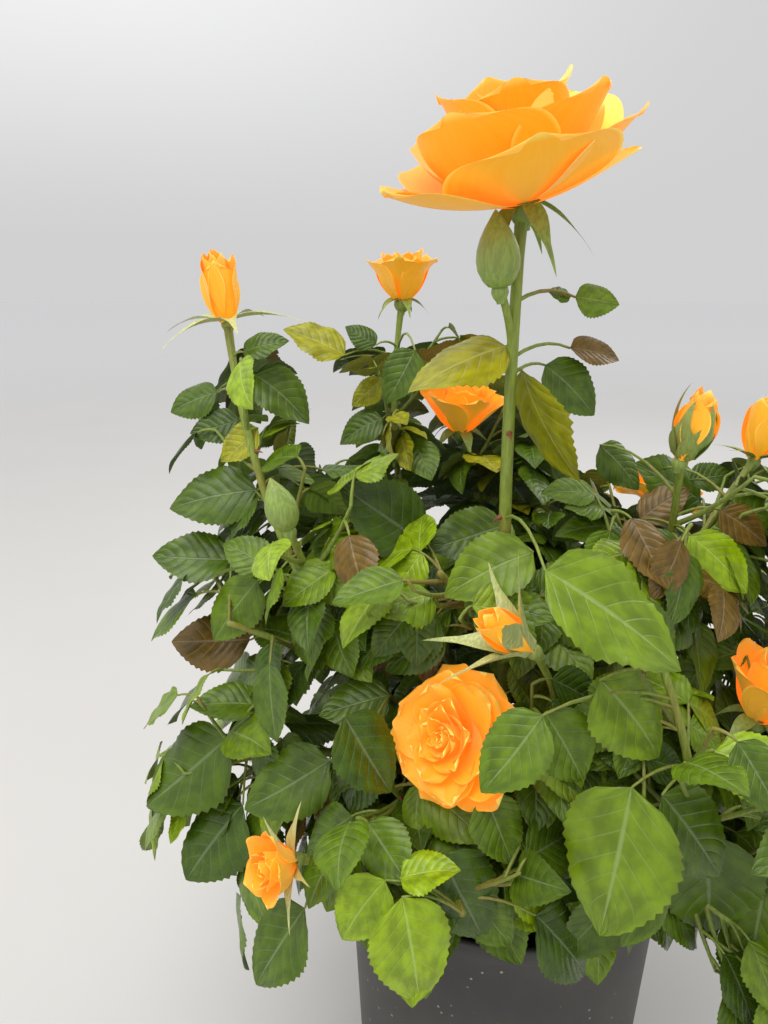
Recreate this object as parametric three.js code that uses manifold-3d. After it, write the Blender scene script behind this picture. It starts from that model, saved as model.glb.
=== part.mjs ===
// A garden rose in its nursery pot: pot, compost, graft union, canes, and leafy and flowering shoots.
// Sizes are in millimetres and angles in degrees. The pot stands on height 0 and its axis is the Z axis.
// The plant is first described in two short tables, one of canes and one of shoots. A seeded growth rule
// then clothes each shoot with compound leaves, side twigs and blossom inside a space of its own.

import * as THREE from 'three';
import Module from 'manifold-3d';

const wasm = await Module();
wasm.setup();

// Clear space between parts that meet
const GAP = 0.3;

// Pot
const POT_HEIGHT = 235;
const POT_FOOT_RADIUS = 96;
const POT_MOUTH_RADIUS = 106;
const POT_WALL = 1.8;
const POT_FLOOR = 2.4;
const POT_SIDES = 36;
const LIP_HEIGHT = 11;
const LIP_OUT = 2.4;
const DRAIN_HOLES = 6;
const DRAIN_RADIUS = 7;
const DRAIN_RING = 68;

// Compost
const SOIL_TOP = 215;
const SOIL_MOUND = 3;

// Trunk: the short stem with its root flare, up to the swollen graft union that all canes spring from
const UNION = new THREE.Vector3(0, 0, 246);
const TRUNK_LEAN = new THREE.Vector3(6, 4, 0);
const TRUNK_SIDES = 14;
const TRUNK_PROFILE = [
  [SOIL_TOP + GAP, 22],
  [SOIL_TOP + 4, 17],
  [SOIL_TOP + 11, 13],
  [SOIL_TOP + 18, 13.5],
  [SOIL_TOP + 25, 18.5],
  [SOIL_TOP + 32, 21],
  [SOIL_TOP + 40, 19.5],
  [SOIL_TOP + 47, 14],
  [SOIL_TOP + 51, 7],
];

// Canes and boughs: each springs from the trunk, or from the side of another cane at a share of its length
const CANE_SIDES = 7;
const CANE_RINGS = 6;
const CANES = [
  { name: 'cane_tall', on: 'trunk', climb: 76, tip: [-17, -58, 440], foot: 5.6, end: 3.6 },
  { name: 'cane_left', on: 'trunk', climb: 42, tip: [-114, -20, 392], foot: 5.2, end: 3.2 },
  { name: 'cane_back_left', on: 'trunk', climb: 48, tip: [-60, 98, 398], foot: 5.0, end: 3.0 },
  { name: 'cane_back_right', on: 'trunk', climb: 46, tip: [84, 84, 384], foot: 5.0, end: 3.0 },
  { name: 'cane_right', on: 'trunk', climb: 46, tip: [84, -18, 402], foot: 5.2, end: 3.2 },
  { name: 'cane_front', on: 'trunk', climb: 34, tip: [6, -84, 346], foot: 4.8, end: 3.0 },
  { name: 'cane_front_left', on: 'trunk', climb: 24, tip: [-74, -80, 282], foot: 4.4, end: 2.8 },
  {
    name: 'bough_back', on: 'cane_back_left', at: 0.3, climb: 50,
    tip: [-8, 108, 396], foot: 3.8, end: 2.8,
  },
  {
    name: 'bough_left_low', on: 'cane_left', at: 0.3, climb: 8,
    tip: [-128, -2, 290], foot: 3.8, end: 2.8,
  },
  {
    name: 'bough_back_low', on: 'cane_back_left', at: 0.3, climb: 6,
    tip: [-82, 118, 284], foot: 3.6, end: 2.6,
  },
  {
    name: 'bough_right_back', on: 'cane_back_right', at: 0.3, climb: 10,
    tip: [130, 34, 300], foot: 3.6, end: 2.8,
  },
  {
    name: 'bough_right_low', on: 'cane_right', at: 0.3, climb: 10,
    tip: [102, -64, 314], foot: 3.8, end: 2.8,
  },
  {
    name: 'bough_front_right', on: 'cane_front', at: 0.35, climb: 12,
    tip: [54, -104, 302], foot: 3.4, end: 2.6,
  },
];

// Shoots: each is a mass of foliage on one green stem. A posed leaf ends where it says, with its end leaflet
// of that size; the growth rule places the others. A blossom sits on the tip, a side bud on its own stalk.
const STEM_SIDES = 5;
const STEM_RINGS = 5;
const STEM_FOOT = 2.5;
const STEM_END = 1.9;
const BUD_STALK_FOOT = 2.1;
const BUD_STALK_END = 1.7;
const SHOOTS = [
  {
    name: 'shoot_tall_bloom', on: 'cane_tall', at: 1, tip: [-20, -73, 623], seed: 11, foot: 3.4, end: 2.5,
    leaves: 1, from: 0.52, to: 0.52, size: 50, blossom: { kind: 'open', width: 110, lean: [-0.3, -0.12, 1] },
    buds: [{ at: 0.66, tip: [-30, -84, 588], kind: 'green', width: 21, lean: [-0.1, 0, 1] }],
    posed: [
      { at: 0.66, tip: [-72, -128, 548], size: 66, pairs: 0 },
      { at: 0.63, tip: [-4, -106, 497], size: 62, pairs: 0 },
      { at: 0.62, tip: [38, -88, 520], size: 46, pairs: 1 },
      { at: 0.72, tip: [33, -60, 580], size: 28, pairs: 1 },
    ],
  },
  {
    name: 'shoot_top', on: 'cane_tall', at: 0.68, tip: [-54, -66, 446], seed: 12, room: 2500,
    leaves: 5, from: 0.3, to: 0.9, size: 62, twigs: 1,
  },
  {
    name: 'shoot_left_bud', on: 'cane_left', at: 1, tip: [-172, 19, 556], seed: 14, foot: 2.9, end: 2.1,
    leaves: 5, from: 0.3, to: 0.84, size: 54, blossom: { kind: 'bud', width: 28, lean: [-0.16, 0, 1] },
  },
  {
    name: 'shoot_left_green_bud', on: 'cane_left', at: 0.84, tip: [-132, -53, 464], seed: 15,
    leaves: 4, from: 0.3, to: 0.85, size: 56, blossom: { kind: 'green', width: 19, lean: [-0.3, 0, 1] },
  },
  {
    name: 'shoot_left_side', on: 'cane_left', at: 0.7, tip: [-176, -28, 398], seed: 16,
    leaves: 3, from: 0.45, to: 0.9, size: 64, twigs: 1,
  },
  {
    name: 'shoot_cup_bloom', on: 'cane_back_left', at: 1, tip: [-67, 145, 564], seed: 17, foot: 2.7, end: 2.1,
    leaves: 5, from: 0.22, to: 0.78, size: 48, blossom: { kind: 'cup', width: 46, lean: [0, 0, 1] },
  },
  {
    name: 'shoot_back_left', on: 'cane_back_left', at: 0.76, tip: [-140, 92, 420], seed: 18,
    leaves: 3, from: 0.45, to: 0.9, size: 64, twigs: 1,
  },
  {
    name: 'shoot_back_bloom', on: 'bough_back', at: 1, tip: [-24, 129, 479], seed: 19,
    leaves: 3, from: 0.3, to: 0.8, size: 50, blossom: { kind: 'cup', width: 48, lean: [0.06, -0.22, 1] },
  },
  {
    name: 'shoot_back_side', on: 'bough_back', at: 0.8, tip: [36, 160, 414], seed: 20,
    leaves: 3, from: 0.4, to: 0.9, size: 64, twigs: 1,
  },
  {
    name: 'shoot_back_right_bloom', on: 'cane_back_right', at: 1, tip: [122, 112, 440], seed: 21,
    leaves: 3, from: 0.3, to: 0.8, size: 54, blossom: { kind: 'rosette', width: 70, lean: [0.3, 0.5, 1] },
  },
  {
    name: 'shoot_back_right_side', on: 'cane_back_right', at: 0.74, tip: [166, 100, 400], seed: 22,
    leaves: 3, from: 0.45, to: 0.9, size: 64, twigs: 1,
  },
  {
    name: 'shoot_right_bud', on: 'cane_right', at: 0.86, tip: [70, -58, 503], seed: 23,
    leaves: 4, from: 0.25, to: 0.72, size: 56, twigs: 1,
    blossom: { kind: 'bud', width: 25, lean: [0.3, 0, 1] },
  },
  {
    name: 'shoot_right_edge_bud', on: 'cane_right', at: 1, tip: [140, 8, 487], seed: 24,
    leaves: 4, from: 0.3, to: 0.75, size: 56, blossom: { kind: 'bud', width: 26, lean: [0.15, 0, 1] },
  },
  {
    name: 'shoot_right_bloom', on: 'bough_right_low', at: 1, tip: [119, -80, 366], seed: 26,
    leaves: 2, from: 0.3, to: 0.6, size: 50, room: -1500,
    blossom: { kind: 'cup', width: 54, lean: [0.25, -0.1, 1] },
  },
  {
    name: 'shoot_right_low', on: 'bough_right_low', at: 0.78, tip: [168, -66, 300], seed: 27,
    leaves: 3, from: 0.4, to: 0.9, size: 64, twigs: 1,
  },
  {
    name: 'shoot_right_back', on: 'bough_right_back', at: 1, tip: [192, 44, 338], seed: 28,
    leaves: 4, from: 0.3, to: 0.9, size: 64,
  },
  {
    name: 'shoot_back_right_low', on: 'bough_right_back', at: 0.7, tip: [130, 112, 282], seed: 29,
    leaves: 3, from: 0.45, to: 0.9, size: 64, twigs: 1,
  },
  {
    name: 'shoot_front_blooms', on: 'cane_front', at: 1, tip: [-36, -94, 364], seed: 30,
    leaves: 2, from: 0.2, to: 0.6, size: 54, room: -1000,
    blossom: { kind: 'rosette', width: 86, lean: [-0.75, -0.75, 0.45] },
    buds: [
      { at: 0.3, tip: [-12, -116, 426], bow: [34, 2, 8], kind: 'bud', width: 21, lean: [-1, 0, 0.75] },
    ],
  },
  {
    name: 'shoot_front_right', on: 'bough_front_right', at: 1, tip: [42, -126, 432], seed: 32,
    leaves: 5, from: 0.15, to: 0.8, size: 58, twigs: 1,
    posed: [
      { at: 0.95, tip: [50, -162, 450], size: 66, pairs: 0 },
      { at: 0.5, tip: [12, -178, 304], size: 76, pairs: 0 },
    ],
  },
  {
    name: 'shoot_front_right_low', on: 'bough_front_right', at: 0.7, tip: [104, -122, 268], seed: 34,
    leaves: 4, from: 0.4, to: 0.95, size: 58,
  },
  {
    name: 'shoot_front_left_bud', on: 'cane_front_left', at: 1, tip: [-128, -112, 301], seed: 35,
    leaves: 2, from: 0.3, to: 0.6, size: 48, room: -2500,
    blossom: { kind: 'cup', width: 29, lean: [-0.75, -0.6, 0.2] },
  },
  {
    name: 'shoot_front_left', on: 'cane_front_left', at: 0.62, tip: [-98, -96, 372], seed: 36, room: 2500,
    leaves: 4, from: 0.35, to: 0.9, size: 62, twigs: 1,
  },
  {
    name: 'shoot_front_low', on: 'cane_front_left', at: 0.55, tip: [-42, -142, 294], seed: 37,
    leaves: 4, from: 0.35, to: 0.85, size: 58,
    posed: [{ at: 0.95, tip: [-58, -180, 262], size: 58, pairs: 1 }],
  },
  {
    name: 'shoot_left_low', on: 'bough_left_low', at: 1, tip: [-190, -34, 300], seed: 38,
    leaves: 4, from: 0.25, to: 0.9, size: 64, twigs: 1,
  },
  {
    name: 'shoot_back_low', on: 'bough_back_low', at: 1, tip: [-52, 176, 312], seed: 52,
    leaves: 5, from: 0.25, to: 0.9, size: 64, twigs: 1,
  },
];

// Leaves: a rose leaf is a thin stalk with an end leaflet and up to two smaller pairs
const LEAF_TURN = 137.5;
const LEAF_RISE = 42;
const LEAF_TRIES = 30;
const TRY_TURN = 100;
const TRY_SHRINK = 0.985;
const STALK_SHARE = 1.15;
const STALK_SAG = 0.4;
const STALK_RADIUS = 1.2;
const PAIR_PLACES = [0.74, 0.36];
const PAIR_SIZES = [0.84, 0.66];
const PAIR_SPREAD = 62;
const PAIR_STEP = 1.6;
const LEAFLET_WIDTH = 0.74;
const LEAFLET_WIDEST = 0.46;
const LEAFLET_SAG = 0.14;
const LEAFLET_HANG = 0.3;
const LEAFLET_THICK = 1.1;
const YOUNG_SIZE = 0.8;

// Side twigs
const TWIG_REACH = 62;
const TWIG_RADIUS = 1.7;
const TWIG_LEAVES = 1;

// Room that a mass leaves to its neighbours' spaces, to canes and stems, and to the pot
const SITE_PLACE = 0.62;
const SPACE_MARGIN = 1.2;
const LIMB_MARGIN = 1.6;
const POT_MARGIN = 4;
const WOOD_RADIUS = 30;
const WOOD_TOP = 272;

// Blossom
const SEPALS = 5;
const SEPAL_THICK = 1.1;

const UP = new THREE.Vector3(0, 0, 1);
const degrees = THREE.MathUtils.degToRad;
const vector = (list) => new THREE.Vector3(...list);
const mix = THREE.MathUtils.lerp;

// A seeded run of numbers from 0 to 1
function dice(seed) {
  let state = seed;
  const roll = () => {
    state = (state * 1664525 + 1013904223) % 4294967296;
    return state / 4294967296;
  };
  for (let warm = 0; warm < 4; warm += 1) roll();
  return roll;
}

// A closed solid from its corner points and its outward faces
function solid(points, faces) {
  const vertProperties = Float32Array.from(points.flatMap((p) => [p.x, p.y, p.z]));
  const triVerts = Uint32Array.from(faces.flat());
  return new wasm.Manifold(new wasm.Mesh({ numProp: 3, vertProperties, triVerts }));
}

// A closed skin over rings of points that run counterclockwise about the direction of travel. Its far end
// is flat, or drawn out to a point.
function skin(rings, point = null) {
  const sides = rings[0].length;
  const points = rings.flat();
  const faces = [];
  for (let level = 0; level + 1 < rings.length; level += 1) {
    for (let side = 0; side < sides; side += 1) {
      const next = (side + 1) % sides;
      const low = level * sides;
      const high = low + sides;
      faces.push([low + side, low + next, high + next]);
      faces.push([low + side, high + next, high + side]);
    }
  }
  const last = (rings.length - 1) * sides;
  for (let side = 1; side + 1 < sides; side += 1) {
    faces.push([0, side + 1, side]);
    if (!point) faces.push([last, last + side, last + side + 1]);
  }
  if (point) {
    points.push(point);
    const peak = points.length - 1;
    for (let side = 0; side < sides; side += 1) faces.push([last + side, last + ((side + 1) % sides), peak]);
  }
  return solid(points, faces);
}

// A level ring about the Z axis, with optional lobes
function levelRing(radius, height, sides, centre = new THREE.Vector3(), lobes = 0) {
  return Array.from({ length: sides }, (_, side) => {
    const turn = (2 * Math.PI * side) / sides;
    const reach = radius * (1 + lobes * Math.cos(3 * turn + 0.6));
    return new THREE.Vector3(centre.x + reach * Math.cos(turn), centre.y + reach * Math.sin(turn), height);
  });
}

// A smooth bend of three points, as a function of the share of its length
function bend(start, control, end) {
  const at = (t) => {
    const a = (1 - t) * (1 - t);
    const b = 2 * t * (1 - t);
    const c = t * t;
    return start.clone().multiplyScalar(a).addScaledVector(control, b).addScaledVector(end, c);
  };
  const along = (t) => {
    const first = control.clone().sub(start).multiplyScalar(1 - t);
    return first.addScaledVector(end.clone().sub(control), t).normalize();
  };
  return { at, along };
}

// A tapering round limb along a bend, from one share of its length to another
function limb(curve, footRadius, endRadius, sides, rings, from = 0, to = 1, extra = 0) {
  let side = perpendicular(curve.along(from));
  const all = [];
  for (let ring = 0; ring < rings; ring += 1) {
    const t = mix(from, to, ring / (rings - 1));
    const along = curve.along(t);
    side = side.clone().addScaledVector(along, -side.dot(along)).normalize();
    const across = along.clone().cross(side);
    const radius = mix(footRadius, endRadius, t) + extra;
    const centre = curve.at(t);
    if (extra > 0 && ring === rings - 1) centre.addScaledVector(along, extra);
    all.push(Array.from({ length: sides }, (_, k) => {
      const turn = (2 * Math.PI * k) / sides;
      const point = centre.clone().addScaledVector(side, radius * Math.cos(turn));
      return point.addScaledVector(across, radius * Math.sin(turn));
    }));
  }
  return skin(all);
}

function perpendicular(direction) {
  const helper = Math.abs(direction.z) < 0.9 ? UP : new THREE.Vector3(1, 0, 0);
  return helper.clone().addScaledVector(direction, -helper.dot(direction)).normalize();
}

// The direction away from the plant's axis and upward that a leaf turns its face to
function skyward(point) {
  const out = new THREE.Vector3(point.x, point.y, 0);
  if (out.length() > 1) out.normalize();
  return out.multiplyScalar(0.9).add(UP).normalize();
}

// Pot, with its thicker lip and its drain holes
function potRadius(height) {
  return mix(POT_FOOT_RADIUS, POT_MOUTH_RADIUS, height / POT_HEIGHT);
}

function makePot() {
  const lipFoot = POT_HEIGHT - LIP_HEIGHT;
  const profile = [
    [POT_FOOT_RADIUS - 1.5, 0],
    [potRadius(2), 2],
    [potRadius(lipFoot), lipFoot],
    [potRadius(lipFoot) + LIP_OUT, lipFoot + 0.8],
    [POT_MOUTH_RADIUS + LIP_OUT, POT_HEIGHT - 0.8],
    [POT_MOUTH_RADIUS + LIP_OUT - 0.8, POT_HEIGHT],
    [POT_MOUTH_RADIUS - POT_WALL, POT_HEIGHT],
    [potRadius(POT_FLOOR) - POT_WALL, POT_FLOOR],
  ];
  let pot = skin(profile.map(([radius, height]) => levelRing(radius, height, POT_SIDES)));
  for (let hole = 0; hole < DRAIN_HOLES; hole += 1) {
    const turn = (2 * Math.PI * (hole + 0.5)) / DRAIN_HOLES;
    const centre = new THREE.Vector3(DRAIN_RING * Math.cos(turn), DRAIN_RING * Math.sin(turn), 0);
    const drill = [-1, POT_FLOOR + 1].map((height) => levelRing(DRAIN_RADIUS, height, 8, centre));
    pot = pot.subtract(skin(drill));
  }
  return pot;
}

// Compost, flat under the trunk and gently uneven towards the wall
function makeSoil() {
  const roll = dice(5);
  const room = POT_WALL + GAP;
  const foot = POT_FLOOR + GAP;
  const edge = SOIL_TOP - 3;
  const rings = [
    levelRing(potRadius(foot) - room, foot, POT_SIDES),
    levelRing(potRadius(edge) - room, edge, POT_SIDES),
  ];
  for (const radius of [84, 52]) {
    const ring = levelRing(radius, SOIL_TOP, POT_SIDES);
    ring.forEach((point) => { point.z += SOIL_MOUND * (roll() - 0.6); });
    rings.push(ring);
  }
  rings.push(levelRing(28, SOIL_TOP, POT_SIDES));
  return skin(rings);
}

function makeTrunk(extra = 0) {
  const base = TRUNK_PROFILE[0][0];
  const rings = TRUNK_PROFILE.map(([height, radius]) => {
    const lean = TRUNK_LEAN.clone().multiplyScalar(Math.max(0, 1 - (height - base) / (UNION.z - base)));
    const lift = height > UNION.z ? extra : 0;
    return levelRing(radius + extra, height + lift, TRUNK_SIDES, lean, 0.09);
  });
  return skin(rings);
}

// The bend of a cane or stem: it leaves in its lead direction and curves to its tip
function growCurve(start, lead, tip, bow = [0, 0, 0]) {
  const control = start.clone().addScaledVector(lead, start.distanceTo(tip) * 0.45);
  return bend(start, control.add(vector(bow)), tip);
}

function planCane(row, canes) {
  const parent = canes.get(row.on);
  const start = parent ? parent.curve.at(row.at) : UNION.clone();
  const tip = vector(row.tip);
  const level = tip.clone().sub(start).setZ(0).normalize();
  const lead = level.multiplyScalar(Math.cos(degrees(row.climb)));
  lead.addScaledVector(UP, Math.sin(degrees(row.climb)));
  return { ...row, parent, curve: growCurve(start, lead, tip) };
}

function planShoot(row, canes) {
  const parent = canes.get(row.on);
  const at = Math.min(row.at, 0.985);
  const start = parent.curve.at(at);
  const tip = vector(row.tip);
  const straight = tip.clone().sub(start).normalize();
  const lead = parent.curve.along(at);
  if (row.at < 1) lead.addScaledVector(straight, 1.4).normalize();
  const foot = row.foot ?? STEM_FOOT;
  const end = row.end ?? STEM_END;
  return { ...row, parent, foot, end, curve: growCurve(start, lead, tip, row.bow) };
}

function budCurve(shoot, bud) {
  return growCurve(shoot.curve.at(bud.at), shoot.curve.along(bud.at), vector(bud.tip), bud.bow);
}

// A cane, cut so that it stands clear of what it springs from
function makeCane(cane) {
  const body = limb(cane.curve, cane.foot, cane.end, CANE_SIDES, CANE_RINGS);
  return body.subtract(grown(cane.parent));
}

// What a limb springs from, larger by the clear space all round
function grown(parent) {
  if (!parent) return makeTrunk(GAP);
  return limb(parent.curve, parent.foot, parent.end, CANE_SIDES, CANE_RINGS, 0, 1, GAP);
}

// Shape of one compound leaf: the points of its stalk and the corners of its leaflets
function leafShape(foot, aim, size, pairs, roll) {
  const stalkLength = size * STALK_SHARE * (pairs > 0 ? 0.6 + 0.2 * pairs : 0.32);
  const sag = stalkLength * STALK_SAG;
  const stalk = aim.clone().multiplyScalar(stalkLength);
  const stalkAt = (s) => foot.clone().addScaledVector(stalk, s).addScaledVector(UP, -sag * s * s);
  const stalkAlong = (s) => stalk.clone().addScaledVector(UP, -2 * sag * s).normalize();
  const face = skyward(foot);
  const end = stalkAlong(1);
  const side = end.clone().cross(face).normalize();
  const droop = end.clone().addScaledVector(UP, -LEAFLET_HANG).normalize();
  const leaflets = [leafletShape(stalkAt(1), droop, size, face, roll)];
  for (let pair = 0; pair < pairs; pair += 1) {
    for (const hand of [-1, 1]) {
      const place = PAIR_PLACES[pair];
      const spread = degrees(PAIR_SPREAD + 10 * (roll() - 0.5));
      const along = stalkAlong(place).multiplyScalar(Math.cos(spread));
      along.addScaledVector(side, hand * Math.sin(spread)).addScaledVector(UP, -LEAFLET_HANG).normalize();
      const foot = stalkAt(place).addScaledVector(end, hand * PAIR_STEP * 0.5);
      leaflets.push(leafletShape(foot, along, size * PAIR_SIZES[pair], face, roll));
    }
  }
  return { stalk: [foot, stalkAt(0.5), stalkAt(1)], leaflets };
}

function leafletShape(foot, along, size, face, roll) {
  const tilt = degrees(24 * (roll() - 0.5));
  const level = face.clone().addScaledVector(along, -face.dot(along)).normalize();
  const normal = level.applyAxisAngle(along, tilt);
  const right = along.clone().cross(normal).normalize();
  const half = (size * LEAFLET_WIDTH) / 2;
  const rib = foot.clone().addScaledVector(along, size * LEAFLET_WIDEST);
  const tip = foot.clone().addScaledVector(along, size * 0.98).addScaledVector(normal, -size * LEAFLET_SAG);
  return {
    base: foot,
    tip,
    left: rib.clone().addScaledVector(right, -half),
    right: rib.clone().addScaledVector(right, half),
    rib,
    under: rib.clone().addScaledVector(normal, -LEAFLET_THICK),
    size,
  };
}

// A leaflet of six faces, thickest under its middle
function makeLeaflet({ base, tip, left, right, under }) {
  const faces = [[0, 1, 3], [1, 2, 3], [1, 0, 4], [2, 1, 4], [3, 2, 4], [0, 3, 4]];
  return solid([base, right, tip, left, under], faces);
}

// The stalk of a leaf and its end leaflet as one skin of three-cornered rings, pinched at the tip
function makeStalk({ stalk, leaflets }) {
  const end = leaflets[0];
  const across = end.right.clone().sub(end.left).normalize();
  const rings = stalk.map((point, k) => {
    const along = stalk[Math.min(k + 1, 2)].clone().sub(stalk[Math.max(k - 1, 0)]).normalize();
    const right = across.clone().addScaledVector(along, -across.dot(along)).normalize();
    const top = right.clone().cross(along);
    return [-30, 90, 210].map((turn) => {
      const corner = point.clone().addScaledVector(right, STALK_RADIUS * Math.cos(degrees(turn)));
      return corner.addScaledVector(top, -STALK_RADIUS * Math.sin(degrees(turn)));
    });
  });
  return skin([...rings, [end.right, end.under, end.left]], end.tip);
}

// Shortest distance between two straight pieces
function pieceGap(a, b, c, d) {
  const ab = b.clone().sub(a);
  const cd = d.clone().sub(c);
  const ac = a.clone().sub(c);
  const abab = ab.dot(ab);
  const cdcd = cd.dot(cd);
  const abcd = ab.dot(cd);
  const spare = abab * cdcd - abcd * abcd;
  const clamp = (value) => Math.min(1, Math.max(0, value));
  let s = spare > 1e-9 ? clamp((abcd * cd.dot(ac) - cdcd * ab.dot(ac)) / spare) : 0;
  const t = clamp((abcd * s + cd.dot(ac)) / cdcd);
  s = clamp((abcd * t - ab.dot(ac)) / abab);
  return a.clone().addScaledVector(ab, s).distanceTo(c.clone().addScaledVector(cd, t));
}

// Shortest distance from a straight piece to a flat three-cornered face
function faceGap(a, b, corners) {
  const [p, q, r] = corners;
  let gap = Math.min(pieceGap(a, b, p, q), pieceGap(a, b, q, r), pieceGap(a, b, r, p));
  const normal = q.clone().sub(p).cross(r.clone().sub(p)).normalize();
  const heights = [a, b].map((end) => end.clone().sub(p).dot(normal));
  [a, b].forEach((end, k) => {
    const shadow = end.clone().addScaledVector(normal, -heights[k]);
    if (isInside(shadow, corners, normal)) gap = Math.min(gap, Math.abs(heights[k]));
  });
  if (heights[0] * heights[1] < 0) {
    const share = heights[0] / (heights[0] - heights[1]);
    if (isInside(a.clone().lerp(b, share), corners, normal)) gap = 0;
  }
  return gap;
}

// Whether a straight piece runs through a flat three-cornered face
function pierces(a, b, corners) {
  const [p, q, r] = corners;
  const normal = q.clone().sub(p).cross(r.clone().sub(p)).normalize();
  const start = a.clone().sub(p).dot(normal);
  const end = b.clone().sub(p).dot(normal);
  if (start * end > 0) return false;
  return isInside(a.clone().lerp(b, start / (start - end)), corners, normal);
}

function facesOf({ base, tip, left, right }) {
  return [[base, right, left], [right, tip, left]];
}

// Whether a new leaf would cut through a leaf, stalk or twig that its own shoot already has
function crosses(leaf, grownLeaves, wires) {
  const faces = leaf.leaflets.flatMap(facesOf);
  const stalk = [[leaf.stalk[0], leaf.stalk[1]], [leaf.stalk[1], leaf.stalk[2]]];
  if (wires.some(([a, b]) => faces.some((face) => pierces(a, b, face)))) return true;
  return grownLeaves.some((other) => other.leaflets.some((two) => {
    if (stalk.some(([a, b]) => facesOf(two).some((face) => pierces(a, b, face)))) return true;
    return leaf.leaflets.some((one) => leafletsCross(one, two));
  }));
}

function leafletsCross(one, other) {
  if (one.rib.distanceTo(other.rib) > one.size + other.size) return false;
  return edgesPierce(one, other) || edgesPierce(other, one);
}

function edgesPierce(one, other) {
  const { base, tip, left, right } = one;
  const edges = [[base, right], [right, tip], [tip, left], [left, base]];
  return edges.some(([a, b]) => facesOf(other).some((face) => pierces(a, b, face)));
}

function isInside(point, corners, normal) {
  return corners.every((corner, k) => {
    const edge = corners[(k + 1) % 3].clone().sub(corner);
    return edge.cross(point.clone().sub(corner)).dot(normal) >= 0;
  });
}

// The fixed pieces that no leaf or twig may touch: canes, the stems of other shoots, and all blossom
function piecesOf(curve, footRadius, endRadius, owner, from = 0, to = 1) {
  const count = 6;
  return Array.from({ length: count }, (_, k) => {
    const start = mix(from, to, k / count);
    const end = mix(from, to, (k + 1) / count);
    return { a: curve.at(start), b: curve.at(end), radius: mix(footRadius, endRadius, start), owner };
  });
}

function blossomPiece(blossom, seat) {
  const lean = vector(blossom.lean).normalize();
  const size = BLOSSOM_ROOM[blossom.kind];
  return {
    a: seat.clone().addScaledVector(lean, blossom.width * size.from),
    b: seat.clone().addScaledVector(lean, blossom.width * size.to),
    radius: blossom.width * size.radius,
    owner: null,
  };
}

// Blossom room as shares of its width
const BLOSSOM_ROOM = {
  open: { from: 0.16, to: 0.3, radius: 0.36 },
  rosette: { from: 0.22, to: 0.34, radius: 0.4 },
  cup: { from: 0.4, to: 0.6, radius: 0.5 },
  bud: { from: 0.5, to: 1.1, radius: 0.55 },
  green: { from: 0.4, to: 1.0, radius: 0.55 },
};

class Surroundings {
  constructor(canes, shoots) {
    this.sites = shoots.map((shoot) => shoot.curve.at(SITE_PLACE));
    this.rooms = shoots.map((shoot) => shoot.room ?? 0);
    this.pieces = canes.flatMap((cane) => piecesOf(cane.curve, cane.foot, cane.end, null));
    shoots.forEach((shoot, owner) => {
      this.pieces.push(...piecesOf(shoot.curve, shoot.foot, shoot.end, owner));
      if (shoot.blossom) this.pieces.push(blossomPiece(shoot.blossom, shoot.curve.at(1)));
      for (const bud of shoot.buds ?? []) {
        this.pieces.push(...piecesOf(budCurve(shoot, bud), BUD_STALK_FOOT, BUD_STALK_END, owner));
        this.pieces.push(blossomPiece(bud, vector(bud.tip)));
      }
    });
  }

  keepsItsSpace(point, owner) {
    const own = this.sites[owner];
    const reach = point.distanceToSquared(own) - this.rooms[owner];
    return this.sites.every((site, k) => {
      if (k === owner) return true;
      const nearer = point.distanceToSquared(site) - this.rooms[k] - reach;
      return nearer / (2 * site.distanceTo(own)) > SPACE_MARGIN;
    });
  }

  clearsPot(point) {
    const reach = Math.hypot(point.x, point.y);
    if (point.z < POT_HEIGHT + POT_MARGIN && reach < POT_MOUTH_RADIUS + LIP_OUT + POT_MARGIN) return false;
    return point.z > WOOD_TOP || reach > WOOD_RADIUS;
  }

  takesPoints(points, owner) {
    return points.every((point) => this.keepsItsSpace(point, owner) && this.clearsPot(point));
  }

  takesFace(corners, owner) {
    return this.pieces.every((piece) => {
      const margin = piece.owner === owner ? 0 : LIMB_MARGIN;
      return faceGap(piece.a, piece.b, corners) > piece.radius + margin;
    });
  }

  takesTwig(points, radius, owner) {
    if (!this.takesPoints(points, owner)) return false;
    return this.pieces.every((piece) => {
      if (piece.owner === owner) return true;
      return points.slice(1).every((point, k) => (
        pieceGap(points[k], point, piece.a, piece.b) > piece.radius + radius + LIMB_MARGIN
      ));
    });
  }

  takesLeaf(leaf, owner) {
    if (!this.takesTwig(leaf.stalk, STALK_RADIUS, owner)) return false;
    return leaf.leaflets.every((leaflet) => {
      const { base, tip, left, right, rib } = leaflet;
      const halfway = [base, tip].flatMap((end) => [left, right].map((side) => end.clone().lerp(side, 0.5)));
      if (!this.takesPoints([tip, left, right, rib, ...halfway], owner)) return false;
      return facesOf(leaflet).every((face) => this.takesFace(face, owner));
    });
  }
}

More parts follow.
